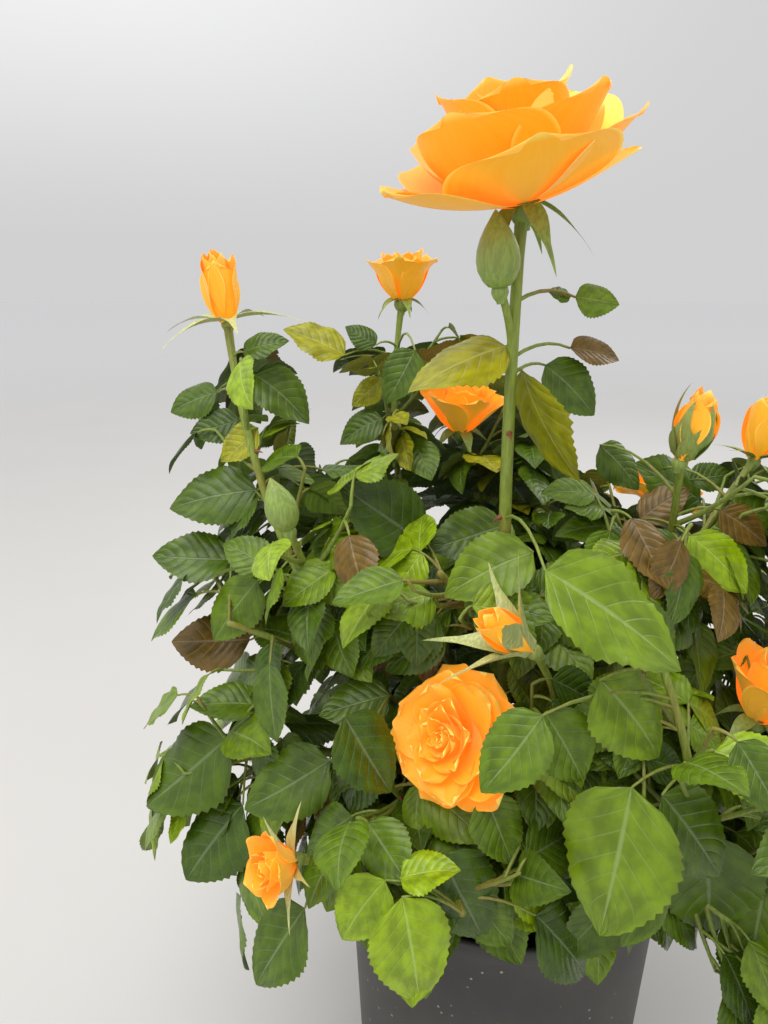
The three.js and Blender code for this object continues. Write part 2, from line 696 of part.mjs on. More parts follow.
// The growth rule of one shoot: it tries a leaf at each node, turning and shrinking it until it fits
class Growth {
  constructor(shoot, owner, around) {
    this.shoot = shoot;
    this.owner = owner;
    this.around = around;
    this.roll = dice(shoot.seed);
    this.leaves = [];
    this.twigs = [];
    this.wires = [];
  }

  fits(leaf) {
    return this.around.takesLeaf(leaf, this.owner) && !crosses(leaf, this.leaves, this.wires);
  }

  keep(leaf) {
    this.leaves.push(leaf);
    this.wires.push([leaf.stalk[0], leaf.stalk[1]], [leaf.stalk[1], leaf.stalk[2]]);
  }

  run() {
    const { shoot } = this;
    (shoot.posed ?? []).forEach((pose) => this.poseLeaf(pose));
    this.clothe(shoot.curve, shoot.leaves, shoot.from, shoot.to, shoot.size, 2);
    if (!shoot.blossom) {
      const leaf = leafShape(shoot.curve.at(1), shoot.curve.along(1), shoot.size * YOUNG_SIZE, 1, this.roll);
      if (this.fits(leaf)) this.keep(leaf);
    }
    for (let number = 0; number < (shoot.twigs ?? 0); number += 1) {
      const twig = this.fitTwig(0.45 + 0.25 * number);
      if (twig) this.clothe(twig, TWIG_LEAVES, 0.7, 1, shoot.size, 1);
    }
    return this;
  }

  poseLeaf({ at, tip, size, pairs }) {
    const foot = this.shoot.curve.at(at);
    const aim = vector(tip).sub(foot);
    aim.z += 0.16 * aim.length();
    this.keep(leafShape(foot, aim.normalize(), size, pairs, this.roll));
  }

  clothe(curve, count, from, to, fullSize, pairs) {
    let turn = 360 * this.roll();
    for (let place = 0; place < count; place += 1) {
      const share = count > 1 ? place / (count - 1) : 1;
      const size = fullSize * mix(1, YOUNG_SIZE, share) * (0.92 + 0.16 * this.roll());
      turn += LEAF_TURN;
      this.fitLeaf(curve, mix(from, to, share), turn, size, pairs);
    }
  }

  fitLeaf(curve, t, turn, size, pairs) {
    for (let attempt = 0; attempt < LEAF_TRIES; attempt += 1) {
      const rise = degrees(LEAF_RISE + 40 * (this.roll() - 0.5));
      const aim = aside(curve.along(t), turn + attempt * TRY_TURN, rise);
      const fewer = Math.max(0, pairs - Math.floor((3 * attempt) / LEAF_TRIES));
      const leaf = leafShape(curve.at(t), aim, size * TRY_SHRINK ** attempt, fewer, this.roll);
      if (this.fits(leaf)) {
        this.keep(leaf);
        return;
      }
    }
  }

  fitTwig(t) {
    const foot = this.shoot.curve.at(t);
    const turn = 360 * this.roll();
    for (let attempt = 0; attempt < LEAF_TRIES; attempt += 1) {
      const aim = aside(this.shoot.curve.along(t), turn + attempt * TRY_TURN, degrees(LEAF_RISE));
      const reach = TWIG_REACH * TRY_SHRINK ** attempt;
      const tip = foot.clone().addScaledVector(aim, reach).addScaledVector(UP, reach * 0.25);
      const twig = growCurve(foot, aim, tip);
      const points = [0, 0.25, 0.5, 0.75, 1].map(twig.at);
      const pieces = points.slice(1).map((point, k) => [points[k], point]);
      const faces = this.leaves.flatMap((leaf) => leaf.leaflets.flatMap(facesOf));
      const cuts = pieces.some(([a, b]) => faces.some((face) => pierces(a, b, face)));
      if (!cuts && this.around.takesTwig(points, TWIG_RADIUS, this.owner)) {
        this.twigs.push(twig);
        this.wires.push(...pieces);
        return twig;
      }
    }
    return null;
  }
}

// A direction that leaves a stem at a turn about it and a rise along it
function aside(along, turn, rise) {
  const out = perpendicular(along).applyAxisAngle(along, degrees(turn));
  return out.multiplyScalar(Math.cos(rise)).addScaledVector(along, Math.sin(rise));
}

// Blossom parts, each a closed solid about the axis of the flower
function flowerFrame(lean) {
  const axis = lean.clone().normalize();
  const side = perpendicular(axis);
  return { axis, side, across: axis.clone().cross(side) };
}

function place(frame, seat, turn, out, high, sideways = 0) {
  const arm = frame.side.clone().multiplyScalar(Math.cos(turn)).addScaledVector(frame.across, Math.sin(turn));
  const tangent = frame.axis.clone().cross(arm);
  const point = seat.clone().addScaledVector(arm, out).addScaledVector(frame.axis, high);
  return point.addScaledVector(tangent, sideways);
}

// A round body about the flower's axis, from rows of radius, height and depth of its petals' lobes
function bulb(frame, seat, profile, sides) {
  return skin(profile.map(([radius, high, lobes = 0]) => (
    Array.from({ length: sides }, (_, k) => {
      const turn = (2 * Math.PI * k) / sides;
      return place(frame, seat, turn, radius * (1 + lobes * (k % 2 ? -1 : 1)), high);
    })
  )));
}

// The hip with its star of five sepals, whose tips reach out and up or down. A closed bud's lie against it.
function calyx(frame, seat, hip, reach, sepals) {
  if (!sepals) {
    return bulb(frame, seat, [[1.6, -hip * 1.4], [hip, -hip * 0.6], [hip * 0.6, hip * 0.4]], SEPALS);
  }
  const { out, high } = sepals;
  const round = (radius, level) => Array.from({ length: 2 * SEPALS }, (_, k) => (
    place(frame, seat, (Math.PI * k) / SEPALS, radius, level)
  ));
  const star = (level) => Array.from({ length: 2 * SEPALS }, (_, k) => {
    const turn = (Math.PI * k) / SEPALS;
    if (k % 2) return place(frame, seat, turn, hip, level);
    return place(frame, seat, turn, reach * out, reach * high + level);
  });
  return skin([
    round(1.6, -hip * 1.4),
    round(hip, -hip * 0.6),
    star(-SEPAL_THICK),
    star(0),
    round(hip * 0.6, hip * 0.4),
  ]);
}

// Blossom shapes: rows of radius, height and lobe depth as shares of the flower's width. The hollow of a
// cup and the steps between the petals' layers are in the profile.
const BLOSSOMS = {
  open: {
    sides: 12,
    body: [
      [0.05, 0], [0.28, 0.08, 0.03], [0.47, 0.12, 0.08], [0.46, 0.16, 0.08],
      [0.3, 0.2], [0.34, 0.36, 0.1], [0.2, 0.32], [0.08, 0.43],
    ],
    sepals: { length: 0.3, out: 0.75, high: -0.55 },
  },
  rosette: {
    sides: 12,
    body: [[0.05, 0], [0.3, 0.07, 0.02], [0.47, 0.16, 0.06], [0.4, 0.22], [0.38, 0.33, 0.07], [0.18, 0.36]],
    sepals: { length: 0.34, out: 0.9, high: -0.35 },
  },
  cup: {
    sides: 10,
    body: [[0.08, 0], [0.36, 0.28, 0.02], [0.46, 0.8, 0.08], [0.34, 0.74, 0.08], [0.12, 0.5]],
    sepals: { length: 0.5, out: 0.9, high: -0.3 },
  },
  bud: {
    sides: 7,
    body: [[0.16, 0], [0.42, 0.36], [0.48, 0.7], [0.34, 1.1], [0.1, 1.42]],
    sepals: { length: 0.95, out: 0.85, high: 0.35 },
  },
  green: {
    sides: 6,
    body: [[0.2, 0], [0.44, 0.34], [0.46, 0.66], [0.26, 1.05], [0.06, 1.4]],
    sepals: null,
  },
};

function makeBlossom({ kind, width, lean }, seat) {
  const frame = flowerFrame(vector(lean));
  const { sides, body, sepals } = BLOSSOMS[kind];
  const hip = Math.max(4, Math.min(6.5, width * 0.14));
  const reach = sepals ? Math.max(14, sepals.length * width) : 0;
  const scaled = body.map(([radius, high, lobes]) => [radius * width, high * width, lobes]);
  return [calyx(frame, seat, hip, reach, sepals), bulb(frame, seat, scaled, sides)];
}

// One shoot as one solid, clear of its cane
function makeShoot(shoot, growth) {
  const solids = [limb(shoot.curve, shoot.foot, shoot.end, STEM_SIDES, STEM_RINGS)];
  if (shoot.blossom) solids.push(...makeBlossom(shoot.blossom, shoot.curve.at(1)));
  for (const bud of shoot.buds ?? []) {
    solids.push(limb(budCurve(shoot, bud), BUD_STALK_FOOT, BUD_STALK_END, STEM_SIDES, 4));
    solids.push(...makeBlossom(bud, vector(bud.tip)));
  }
  growth.twigs.forEach((twig) => solids.push(limb(twig, TWIG_RADIUS, STALK_RADIUS, 3, 3)));
  for (const leaf of growth.leaves) {
    solids.push(makeStalk(leaf));
    leaf.leaflets.slice(1).forEach((leaflet) => solids.push(makeLeaflet(leaflet)));
  }
  const whole = solids.reduce((sum, next) => sum.add(next));
  return whole.subtract(grown(shoot.parent));
}

// The largest joined body of a solid: loose scraps and sealed hollows are dropped
function oneBody(body) {
  const parts = body.decompose();
  return parts.reduce((best, next) => (next.volume() > best.volume() ? next : best));
}

function node(name, body, finish) {
  const { vertProperties, triVerts } = oneBody(body).getMesh();
  const geometry = new THREE.BufferGeometry();
  geometry.setAttribute('position', new THREE.BufferAttribute(Float32Array.from(vertProperties), 3));
  geometry.setIndex(Array.from(triVerts));
  geometry.computeVertexNormals();
  const mesh = new THREE.Mesh(geometry, new THREE.MeshStandardMaterial(finish));
  mesh.name = name;
  return mesh;
}

const PLASTIC = { color: 0x45423d, roughness: 0.6, metalness: 0 };
const COMPOST = { color: 0x3a2a1e, roughness: 0.95, metalness: 0 };
const BARK = { color: 0x6f5a3e, roughness: 0.85, metalness: 0 };
const GREEN_WOOD = { color: 0x6e8a3a, roughness: 0.6, metalness: 0 };
const FOLIAGE = [0x2f5a2a, 0x3a6a2c, 0x4b7d31, 0x335f33];

const canes = new Map();
for (const row of CANES) canes.set(row.name, planCane(row, canes));
const shoots = SHOOTS.map((row) => planShoot(row, canes));
const around = new Surroundings([...canes.values()], shoots);

const plant = new THREE.Group();
plant.name = 'potted_rose_bush';
plant.add(node('pot', makePot(), PLASTIC));
plant.add(node('compost', makeSoil(), COMPOST));
plant.add(node('trunk', makeTrunk(), BARK));
for (const cane of canes.values()) plant.add(node(cane.name, makeCane(cane), GREEN_WOOD));
shoots.forEach((shoot, owner) => {
  const growth = new Growth(shoot, owner, around).run();
  const finish = { color: FOLIAGE[owner % FOLIAGE.length], roughness: 0.5, metalness: 0 };
  plant.add(node(shoot.name, makeShoot(shoot, growth), finish));
});

export default plant;
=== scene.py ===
"""A garden rose in its nursery pot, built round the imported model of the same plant.

The plant is described in three tables, in millimetres: its canes, its shoots, and the leaves that the
photograph shows clear in front. The growth rule of the solids clothes each shoot with leaves and twigs
inside a space of its own, and then carries on to finer twigs and leaves in the same space. The meshes are
in metres, with the pot standing on height 0.
"""

import functools
import math

import bpy
import numpy as np
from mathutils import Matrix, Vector


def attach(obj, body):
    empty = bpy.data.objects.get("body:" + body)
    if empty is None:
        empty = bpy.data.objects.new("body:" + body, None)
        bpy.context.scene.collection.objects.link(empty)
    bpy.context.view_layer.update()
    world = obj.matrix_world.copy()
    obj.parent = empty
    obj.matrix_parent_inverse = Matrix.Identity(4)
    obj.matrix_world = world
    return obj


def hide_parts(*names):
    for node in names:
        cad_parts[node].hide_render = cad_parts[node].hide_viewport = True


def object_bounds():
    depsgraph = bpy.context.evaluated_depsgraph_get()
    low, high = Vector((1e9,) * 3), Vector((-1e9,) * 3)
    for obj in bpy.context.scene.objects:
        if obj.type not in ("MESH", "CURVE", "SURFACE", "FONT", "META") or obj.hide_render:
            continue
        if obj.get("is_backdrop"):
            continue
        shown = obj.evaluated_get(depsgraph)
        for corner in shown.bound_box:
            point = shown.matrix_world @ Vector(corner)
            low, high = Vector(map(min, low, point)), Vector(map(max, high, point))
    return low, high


bl_info = {
    "name": "Potted Rose Bush",
    "version": (1, 0, 0),
    "blender": (4, 5, 0),
    "location": "3D View > Sidebar > Rose",
    "description": "Builds a garden rose with its blooms, leaves, canes and nursery pot",
    "category": "Object",
}

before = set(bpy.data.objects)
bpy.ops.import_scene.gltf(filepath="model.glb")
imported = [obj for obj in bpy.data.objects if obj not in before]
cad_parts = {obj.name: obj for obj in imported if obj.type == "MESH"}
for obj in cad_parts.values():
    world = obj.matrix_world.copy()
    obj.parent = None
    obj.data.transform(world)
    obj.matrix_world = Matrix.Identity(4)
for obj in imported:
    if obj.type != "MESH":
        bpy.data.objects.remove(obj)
CAD_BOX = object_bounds()

MM = 0.001
UP = np.array((0.0, 0.0, 1.0))
UV_MAP = "OFBake"

# The photograph's camera: its place in millimetres, its tilt in degrees, its focus and frame in pixels
CAMERA_PLACE = np.array((-81.3, -438.6, 599.0))
CAMERA_DOWN = 18
CAMERA_FOCUS = 769
CAMERA_FRAME = (768, 1024)

# Pot and compost, in millimetres
POT_HEIGHT = 235
POT_FOOT_RADIUS = 96
POT_MOUTH_RADIUS = 106
POT_FLOOR = 2.4
LIP_HEIGHT = 11
LIP_OUT = 2.4
DRAIN_RING = 68
DRILL_PAST = 3
SOIL_TOP = 215

# Trunk: the short stem with its root flare, up to the swollen graft union that all canes spring from
UNION = np.array((0.0, 0.0, 246.0))
TRUNK_LEAN = (6, 4)
TRUNK_PROFILE = (
    (0.3, 22), (4, 17), (11, 13), (18, 13.5), (25, 18.5), (32, 21), (40, 19.5), (47, 14), (51, 7),
)

# Bends of canes and stems: how far one keeps its lead as a share of its reach, the last share of a cane that
# a shoot stands on, and how much the lead of a side shoot turns to its tip
LEAD_SHARE = 0.45
LAST_SHARE = 0.985
TIP_PULL = 1.4

# Canes and boughs: name, what it springs from, share of that, climb in degrees, tip, foot and end radius
CANES = (
    ("cane_tall", "trunk", 1, 76, (-17, -58, 440), 5.6, 3.6),
    ("cane_left", "trunk", 1, 42, (-114, -20, 392), 5.2, 3.2),
    ("cane_back_left", "trunk", 1, 48, (-60, 98, 398), 5.0, 3.0),
    ("cane_back_right", "trunk", 1, 46, (84, 84, 384), 5.0, 3.0),
    ("cane_right", "trunk", 1, 46, (84, -18, 402), 5.2, 3.2),
    ("cane_front", "trunk", 1, 34, (6, -84, 346), 4.8, 3.0),
    ("cane_front_left", "trunk", 1, 24, (-74, -80, 282), 4.4, 2.8),
    ("bough_back", "cane_back_left", 0.3, 50, (-8, 108, 396), 3.8, 2.8),
    ("bough_left_low", "cane_left", 0.3, 8, (-128, -2, 290), 3.8, 2.8),
    ("bough_back_low", "cane_back_left", 0.3, 6, (-82, 118, 284), 3.6, 2.6),
    ("bough_right_back", "cane_back_right", 0.3, 10, (130, 34, 300), 3.6, 2.8),
    ("bough_right_low", "cane_right", 0.3, 10, (102, -64, 314), 3.8, 2.8),
    ("bough_front_right", "cane_front", 0.35, 12, (54, -104, 302), 3.4, 2.6),
)

# Stems: radii of their foot and end, the least share of a stem with no flower that is kept, and how near
# a leaf's foot has to be to stand on a stem or twig
STEM_FOOT = 2.5
STEM_END = 1.9
BUD_STALK_FOOT = 2.1
BUD_STALK_END = 1.7
LEAST_STEM = 0.7
FOOT_NEAR = 2.6

# Shoots: the cane and the share of it that each stands on, its tip, its leaves from start to stop, and room
# that widens or narrows its space. A blossom, as kind, width and lean, sits on the tip, and a side bud on a
# stalk of its own
SHOOTS = (
    dict(
        name="shoot_tall_bloom", on="cane_tall", at=1, tip=(-20, -73, 623), seed=11, foot=3.4, end=2.5,
        leaves=1, start=0.52, stop=0.52, size=50, blossom=("open", 110, (-0.24, -0.12, 1)),
        buds=[dict(at=0.66, tip=(-30, -84, 588), blossom=("green", 21, (-0.1, 0, 1)))],
    ),
    dict(
        name="shoot_top", on="cane_tall", at=0.68, tip=(-54, -66, 446), seed=12, room=2500,
        leaves=5, start=0.3, stop=0.9, size=62, twigs=1,
    ),
    dict(
        name="shoot_left_bud", on="cane_left", at=1, tip=(-172, 19, 566), seed=14, foot=2.9, end=2.1,
        leaves=5, start=0.3, stop=0.84, size=54, blossom=("bud", 26, (-0.16, 0, 1)),
    ),
    dict(
        name="shoot_left_green_bud", on="cane_left", at=0.84, tip=(-132, -53, 464), seed=15,
        leaves=4, start=0.3, stop=0.85, size=56, blossom=("green", 19, (-0.3, 0, 1)),
    ),
    dict(
        name="shoot_left_side", on="cane_left", at=0.7, tip=(-176, -28, 398), seed=16,
        leaves=3, start=0.45, stop=0.9, size=64, twigs=1,
    ),
    dict(
        name="shoot_cup_bloom", on="cane_back_left", at=1, tip=(-68, 145, 572), seed=17, foot=2.7, end=2.1,
        leaves=5, start=0.22, stop=0.78, size=48, blossom=("cup", 43, (0, 0, 1)),
    ),
    dict(
        name="shoot_back_left", on="cane_back_left", at=0.76, tip=(-140, 92, 420), seed=18,
        leaves=3, start=0.45, stop=0.9, size=64, twigs=1,
    ),
    dict(
        name="shoot_back_bloom", on="bough_back", at=1, tip=(-24, 129, 479), seed=19,
        leaves=3, start=0.3, stop=0.8, size=50, blossom=("cup", 48, (0.06, -0.22, 1)),
    ),
    dict(
        name="shoot_back_side", on="bough_back", at=0.8, tip=(36, 160, 414), seed=20,
        leaves=3, start=0.4, stop=0.9, size=64, twigs=1,
    ),
    dict(
        name="shoot_back_right_bloom", on="cane_back_right", at=1, tip=(122, 112, 426), seed=21,
        leaves=3, start=0.3, stop=0.8, size=54, blossom=("rosette", 70, (0.3, 0.5, 1)),
    ),
    dict(
        name="shoot_back_right_side", on="cane_back_right", at=0.74, tip=(166, 100, 400), seed=22,
        leaves=3, start=0.45, stop=0.9, size=64, twigs=1,
    ),
    dict(
        name="shoot_right_bud", on="cane_right", at=0.86, tip=(70, -58, 503), seed=23,
        leaves=4, start=0.25, stop=0.72, size=56, twigs=1, blossom=("bud", 25, (0.3, 0, 1)),
    ),
    dict(
        name="shoot_right_edge_bud", on="cane_right", at=1, tip=(140, 8, 487), seed=24,
        leaves=4, start=0.3, stop=0.75, size=56, blossom=("bud", 26, (0.15, 0, 1)),
    ),
    dict(
        name="shoot_right_bloom", on="bough_right_low", at=1, tip=(119, -80, 366), seed=26, room=-1500,
        leaves=2, start=0.3, stop=0.6, size=50, blossom=("cup", 46, (0.25, -0.1, 1)),
    ),
    dict(
        name="shoot_right_low", on="bough_right_low", at=0.78, tip=(168, -66, 300), seed=27,
        leaves=3, start=0.4, stop=0.9, size=64, twigs=1,
    ),
    dict(
        name="shoot_right_back", on="bough_right_back", at=1, tip=(192, 44, 338), seed=28,
        leaves=4, start=0.3, stop=0.9, size=64,
    ),
    dict(
        name="shoot_back_right_low", on="bough_right_back", at=0.7, tip=(130, 112, 282), seed=29,
        leaves=3, start=0.45, stop=0.9, size=64, twigs=1,
    ),
    dict(
        name="shoot_front_blooms", on="cane_front", at=1, tip=(-36, -94, 364), seed=30, room=-1000,
        leaves=2, start=0.2, stop=0.6, size=54, blossom=("rosette", 86, (-0.75, -0.75, 0.45)),
        buds=[dict(at=0.3, tip=(-12, -116, 426), bow=(34, 2, 8), blossom=("bud", 21, (-1, 0, 0.75)))],
    ),
    dict(
        name="shoot_front_right", on="bough_front_right", at=1, tip=(42, -126, 432), seed=32,
        leaves=5, start=0.15, stop=0.8, size=58, twigs=1,
    ),
    dict(
        name="shoot_front_right_low", on="bough_front_right", at=0.7, tip=(104, -122, 268), seed=34,
        leaves=4, start=0.4, stop=0.95, size=58,
    ),
    dict(
        name="shoot_front_left_bud", on="cane_front_left", at=1, tip=(-128, -112, 301), seed=35, room=-2500,
        leaves=2, start=0.3, stop=0.6, size=48, blossom=("cup", 29, (-0.75, -0.6, 0.2)),
    ),
    dict(
        name="shoot_front_left", on="cane_front_left", at=0.62, tip=(-98, -96, 372), seed=36, room=2500,
        leaves=4, start=0.35, stop=0.9, size=62, twigs=1,
    ),
    dict(
        name="shoot_front_low", on="cane_front_left", at=0.55, tip=(-42, -142, 294), seed=37,
        leaves=4, start=0.35, stop=0.85, size=58,
    ),
    dict(
        name="shoot_left_low", on="bough_left_low", at=1, tip=(-190, -34, 300), seed=38,
        leaves=4, start=0.25, stop=0.9, size=64, twigs=1,
    ),
    dict(
        name="shoot_back_low", on="bough_back_low", at=1, tip=(-52, 176, 312), seed=52,
        leaves=5, start=0.25, stop=0.9, size=64, twigs=1,
    ),
)
CANE_NAMES = [row[0] for row in CANES]
SHOOT_NAMES = [row["name"] for row in SHOOTS]

# Leaves: a rose leaf is a thin stalk with an end leaflet and up to two smaller pairs. Angles are in degrees
LEAF_TURN = 137.5
LEAF_RISE = 42
RISE_SPREAD = 40
LEAF_OUTWARD = 0.9
LEAF_TILT = 24
LEAF_TRIES = 30
TRY_TURN = 100
TRY_SHRINK = 0.985
STALK_SHARE = 1.15
LONE_STALK = 0.32
STALK_SAG = 0.4
STALK_RADIUS = 1.2
PAIR_PLACES = (0.74, 0.36)
PAIR_SIZES = (0.84, 0.66)
PAIR_SPREAD = 62
PAIR_JITTER = 10
PAIR_STEP = 1.6
LEAFLET_WIDTH = 0.74
LEAFLET_WIDEST = 0.46
LEAFLET_REACH = 0.98
LEAFLET_SAG = 0.14
LEAFLET_HANG = 0.3
YOUNG_SIZE = 0.8

# Side twigs: the share of a stem that the first and each next one stands on, and the leaves on them
TWIG_START = 0.45
TWIG_STEP = 0.25
TWIG_REACH = 62
TWIG_LIFT = 0.25
TWIG_RADIUS = 1.7
TWIG_END = 0.9
TWIG_LEAVES = 1

# The crown's outline in the photograph, in pixels of its frame: no leaf shows outside it
CROWN_OUTLINE = (
    (125, 850), (128, 730), (165, 700), (150, 650), (148, 530), (160, 500), (150, 460), (163, 380),
    (225, 368), (238, 325), (290, 330), (312, 405), (318, 470), (334, 470), (336, 400), (280, 350),
    (282, 316), (378, 318), (410, 345), (425, 330), (480, 312), (515, 330), (548, 282), (632, 286),
    (630, 366), (604, 425), (645, 458), (690, 455), (740, 455), (790, 400), (1400, 250), (1400, 1100),
    (735, 1100), (712, 965), (640, 940), (610, 985), (530, 985), (505, 950), (448, 952), (448, 1024),
    (400, 1024), (366, 950), (315, 992), (232, 992), (228, 905), (165, 890),
)

# Leaves that the photograph shows: foot and tip in pixels of its frame, how far both lie behind the pot's
# axis in millimetres, their tint, and for a twisted one how far it turns from the view in degrees
PHOTO_LEAVES = (
    ((545, 570), (700, 652), -138, -158, "fresh"),
    ((632, 787), (592, 943), -148, -165, "fresh"),
    ((402, 897), (430, 1021), -150, -168, "young"),
    ((385, 880), (335, 947), -140, -150, "young"),
    ((400, 878), (458, 868), -140, -145, "young"),
    ((305, 908), (245, 985), -120, -130, "deep"),
    ((440, 853), (490, 950), -125, -140, "dark"),
    ((485, 795), (515, 866), -120, -130, "mid"),
    ((543, 715), (477, 791), -142, -152, "mid"),
    ((545, 713), (592, 785), -138, -145, "mid"),
    ((600, 680), (672, 760), -135, -145, "fresh"),
    ((690, 535), (750, 590), -60, -80, "young"),
    ((720, 510), (768, 545), -40, -50, "bronze"),
    ((662, 795), (728, 878), -150, -156, "deep"),
    ((705, 830), (712, 945), -115, -125, "deep"),
    ((770, 865), (745, 968), -120, -130, "mid"),
    ((535, 915), (605, 975), -132, -136, "dark"),
    ((228, 738), (138, 805), -20, -30, "deep"),
    ((330, 760), (240, 808), -60, -70, "deep"),
    ((243, 805), (180, 880), -30, -40, "dark"),
    ((257, 705), (192, 698), -20, -25, "mid"),
    ((390, 695), (320, 712), -62, -72, "deep"),
    ((420, 540), (352, 485), -30, -45, "dark"),
    ((335, 568), (280, 600), -50, -60, "fresh"),
    ((257, 490), (168, 505), 0, -5, "deep"),
    ((232, 560), (153, 550), 0, -5, "deep"),
    ((258, 580), (205, 640), -20, -30, "mid"),
    ((250, 640), (168, 635), 0, 0, "bronze"),
    ((243, 352), (283, 335), 5, 0, "deep"),
    ((255, 375), (309, 415), 10, 0, "deep"),
    ((218, 392), (168, 408), 20, 20, "deep"),
    ((240, 420), (190, 432), 15, 10, "dark"),
    ((258, 428), (220, 460), 0, -5, "olive"),
    ((345, 355), (286, 325), 120, 120, "olive"),
    ((376, 345), (347, 325), 120, 120, "dark"),
    ((383, 418), (338, 438), 110, 105, "deep"),
    ((383, 380), (350, 402), 112, 108, "olive"),
    ((415, 350), (385, 400), 40, 30, "deep"),
    ((506, 346), (410, 368), -74, -90, "olive", 24),
    ((522, 370), (562, 488), -72, -80, "olive", 72),
    ((545, 365), (598, 412), -62, -66, "deep"),
    ((570, 348), (623, 350), -60, -60, "bronze"),
    ((575, 297), (620, 303), -60, -60, "fresh"),
    ((570, 297), (549, 290), -60, -64, "mid"),
    ((408, 615), (372, 655), -60, -70, "deep"),
    ((385, 740), (335, 810), -60, -64, "dark"),
    ((505, 525), (430, 545), -20, -30, "deep"),
    ((533, 552), (445, 590), -76, -84, "fresh"),
    ((600, 445), (645, 485), 0, -10, "deep"),
    ((690, 480), (735, 470), 30, 30, "dark"),
    ((700, 500), (640, 462), 50, 45, "deep"),
    ((640, 520), (688, 486), 30, 30, "bronze"),
    ((655, 470), (708, 500), 60, 55, "mid"),
    ((745, 650), (700, 665), -60, -62, "mid"),
    ((344, 716), (396, 792), -112, -120, "dark"),
)

# How much such a leaf faces the camera and the sky, and its spot that nothing hides, as a share of its size
PHOTO_LEAF_FACE = (0.75, 0.5)
PHOTO_SPOT = 0.36
PHOTO_SEED = 7

# Finer growth in the same spaces: more leaves on each stem, twig and cane, and more twigs. Its margin lets
# it reach a little into its neighbours' spaces, and within the crowded reach of the axis it may touch
FINE_TRIES = 14
FINE_STEM_LEAVES = 10
FINE_TWIGS = (0.2, 0.34, 0.46, 0.58, 0.7, 0.8, 0.9)
FINE_TWIG_LEAVES = 5
FINE_TWIG_REACH = 48
FINE_SIZE = 0.84
FINE_SEED = 100
FINE_MARGIN = -14
CROWDED_REACH = 130
CANE_LEAVES = 16
CANE_LEAF_SIZE = 48
CANE_LEAF_SPAN = (0.42, 0.96)
CANE_SEED = 300

# The tall bloom's stem carries only the leaves that the photograph shows
BARE_SHOOTS = ("shoot_tall_bloom",)

# Room that a mass leaves to its neighbours' spaces, to canes and stems, and to the pot. A blossom's own
# room is a rod, in shares of its width: where it starts and ends above the seat, and its radius
SITE_PLACE = 0.62
SPACE_MARGIN = 1.2
LIMB_MARGIN = 1.6
POT_MARGIN = 4
WOOD_RADIUS = 30
WOOD_TOP = 272
BLOSSOM_ROOM = {
    "open": (0.16, 0.3, 0.36),
    "rosette": (0.22, 0.34, 0.4),
    "cup": (0.4, 0.6, 0.5),
    "bud": (0.5, 1.1, 0.55),
    "green": (0.4, 1.0, 0.55),
}


# Numbers and directions


def dice(seed):
    """A seeded run of numbers from 0 to 1, the same as in the solids."""
    state = seed

    def roll():
        nonlocal state
        state = (state * 1664525 + 1013904223) % 4294967296
        return state / 4294967296

    for _ in range(4):
        roll()
    return roll


def vector(values):
    return np.array(values, dtype=float)


def millimetres(length):
    """A setting's length in metres as millimetres, free of the rounding that it was stored with."""
    return round(length / MM, 4)


def unit(direction):
    return direction / math.sqrt(float(direction @ direction))


def units(directions):
    return directions / np.linalg.norm(directions, axis=-1, keepdims=True)


def mix(low, high, share):
    return low + (high - low) * share


def ring_turns(sides):
    """The turns of the corners of a ring, in radians."""
    return np.linspace(0, 2 * math.pi, sides, endpoint=False)


def running(values):
    """The sums of values from row to row, starting at 0."""
    return np.concatenate([[0], np.cumsum(values)])


def cross(a, b):
    """The cross product of two single vectors."""
    return np.array((
        a[1] * b[2] - a[2] * b[1],
        a[2] * b[0] - a[0] * b[2],
        a[0] * b[1] - a[1] * b[0],
    ))


def turned(direction, axis, angle):
    """A direction turned about a unit axis."""
    cos = math.cos(angle)
    sin = math.sin(angle)
    return direction * cos + cross(axis, direction) * sin + axis * float(axis @ direction) * (1 - cos)


def perpendicular(direction):
    helper = UP if abs(direction[2]) < 0.9 else vector((1, 0, 0))
    return unit(helper - direction * float(helper @ direction))


def aside(along, turn, rise):
    """A direction that leaves a stem at a turn about it and a rise along it."""
    out = turned(perpendicular(along), along, math.radians(turn))
    return out * math.cos(rise) + along * math.sin(rise)


def skyward(point):
    """The direction away from the plant's axis and upward that a leaf turns its face to."""
    out = vector((point[0], point[1], 0))
    length = math.hypot(out[0], out[1])
    if length > 1:
        out = out / length
    return unit(out * LEAF_OUTWARD + UP)


class Bend:
    """A smooth bend of three points, as a function of the share of its length."""

    def __init__(self, start, control, end):
        self.start = start
        self.control = control
        self.end = end

    def at(self, t):
        a = (1 - t) * (1 - t)
        b = 2 * t * (1 - t)
        return self.start * a + self.control * b + self.end * (t * t)

    def along(self, t):
        return unit((self.control - self.start) * (1 - t) + (self.end - self.control) * t)


def grow_curve(start, lead, tip, bow=(0, 0, 0)):
    """The bend of a cane or stem: it leaves in its lead direction and curves to its tip."""
    reach = float(np.linalg.norm(tip - start))
    return Bend(start, start + lead * (reach * LEAD_SHARE) + vector(bow), tip)


# The photograph's view


def photo_axes():
    """The ways along the photograph's view and up its frame."""
    down = math.radians(CAMERA_DOWN)
    return vector((0, math.cos(down), -math.sin(down))), vector((0, math.sin(down), math.cos(down)))


def photo_point(x, y, depth):
    """The point at a depth behind the pot's axis that shows at a pixel of the photograph."""
    ahead, upward = photo_axes()
    across = (x - CAMERA_FRAME[0] / 2) / CAMERA_FOCUS
    fall = (y - CAMERA_FRAME[1] / 2) / CAMERA_FOCUS
    ray = ahead + vector((across, 0, 0)) - upward * fall
    return CAMERA_PLACE + ray * ((depth - CAMERA_PLACE[1]) / ray[1])


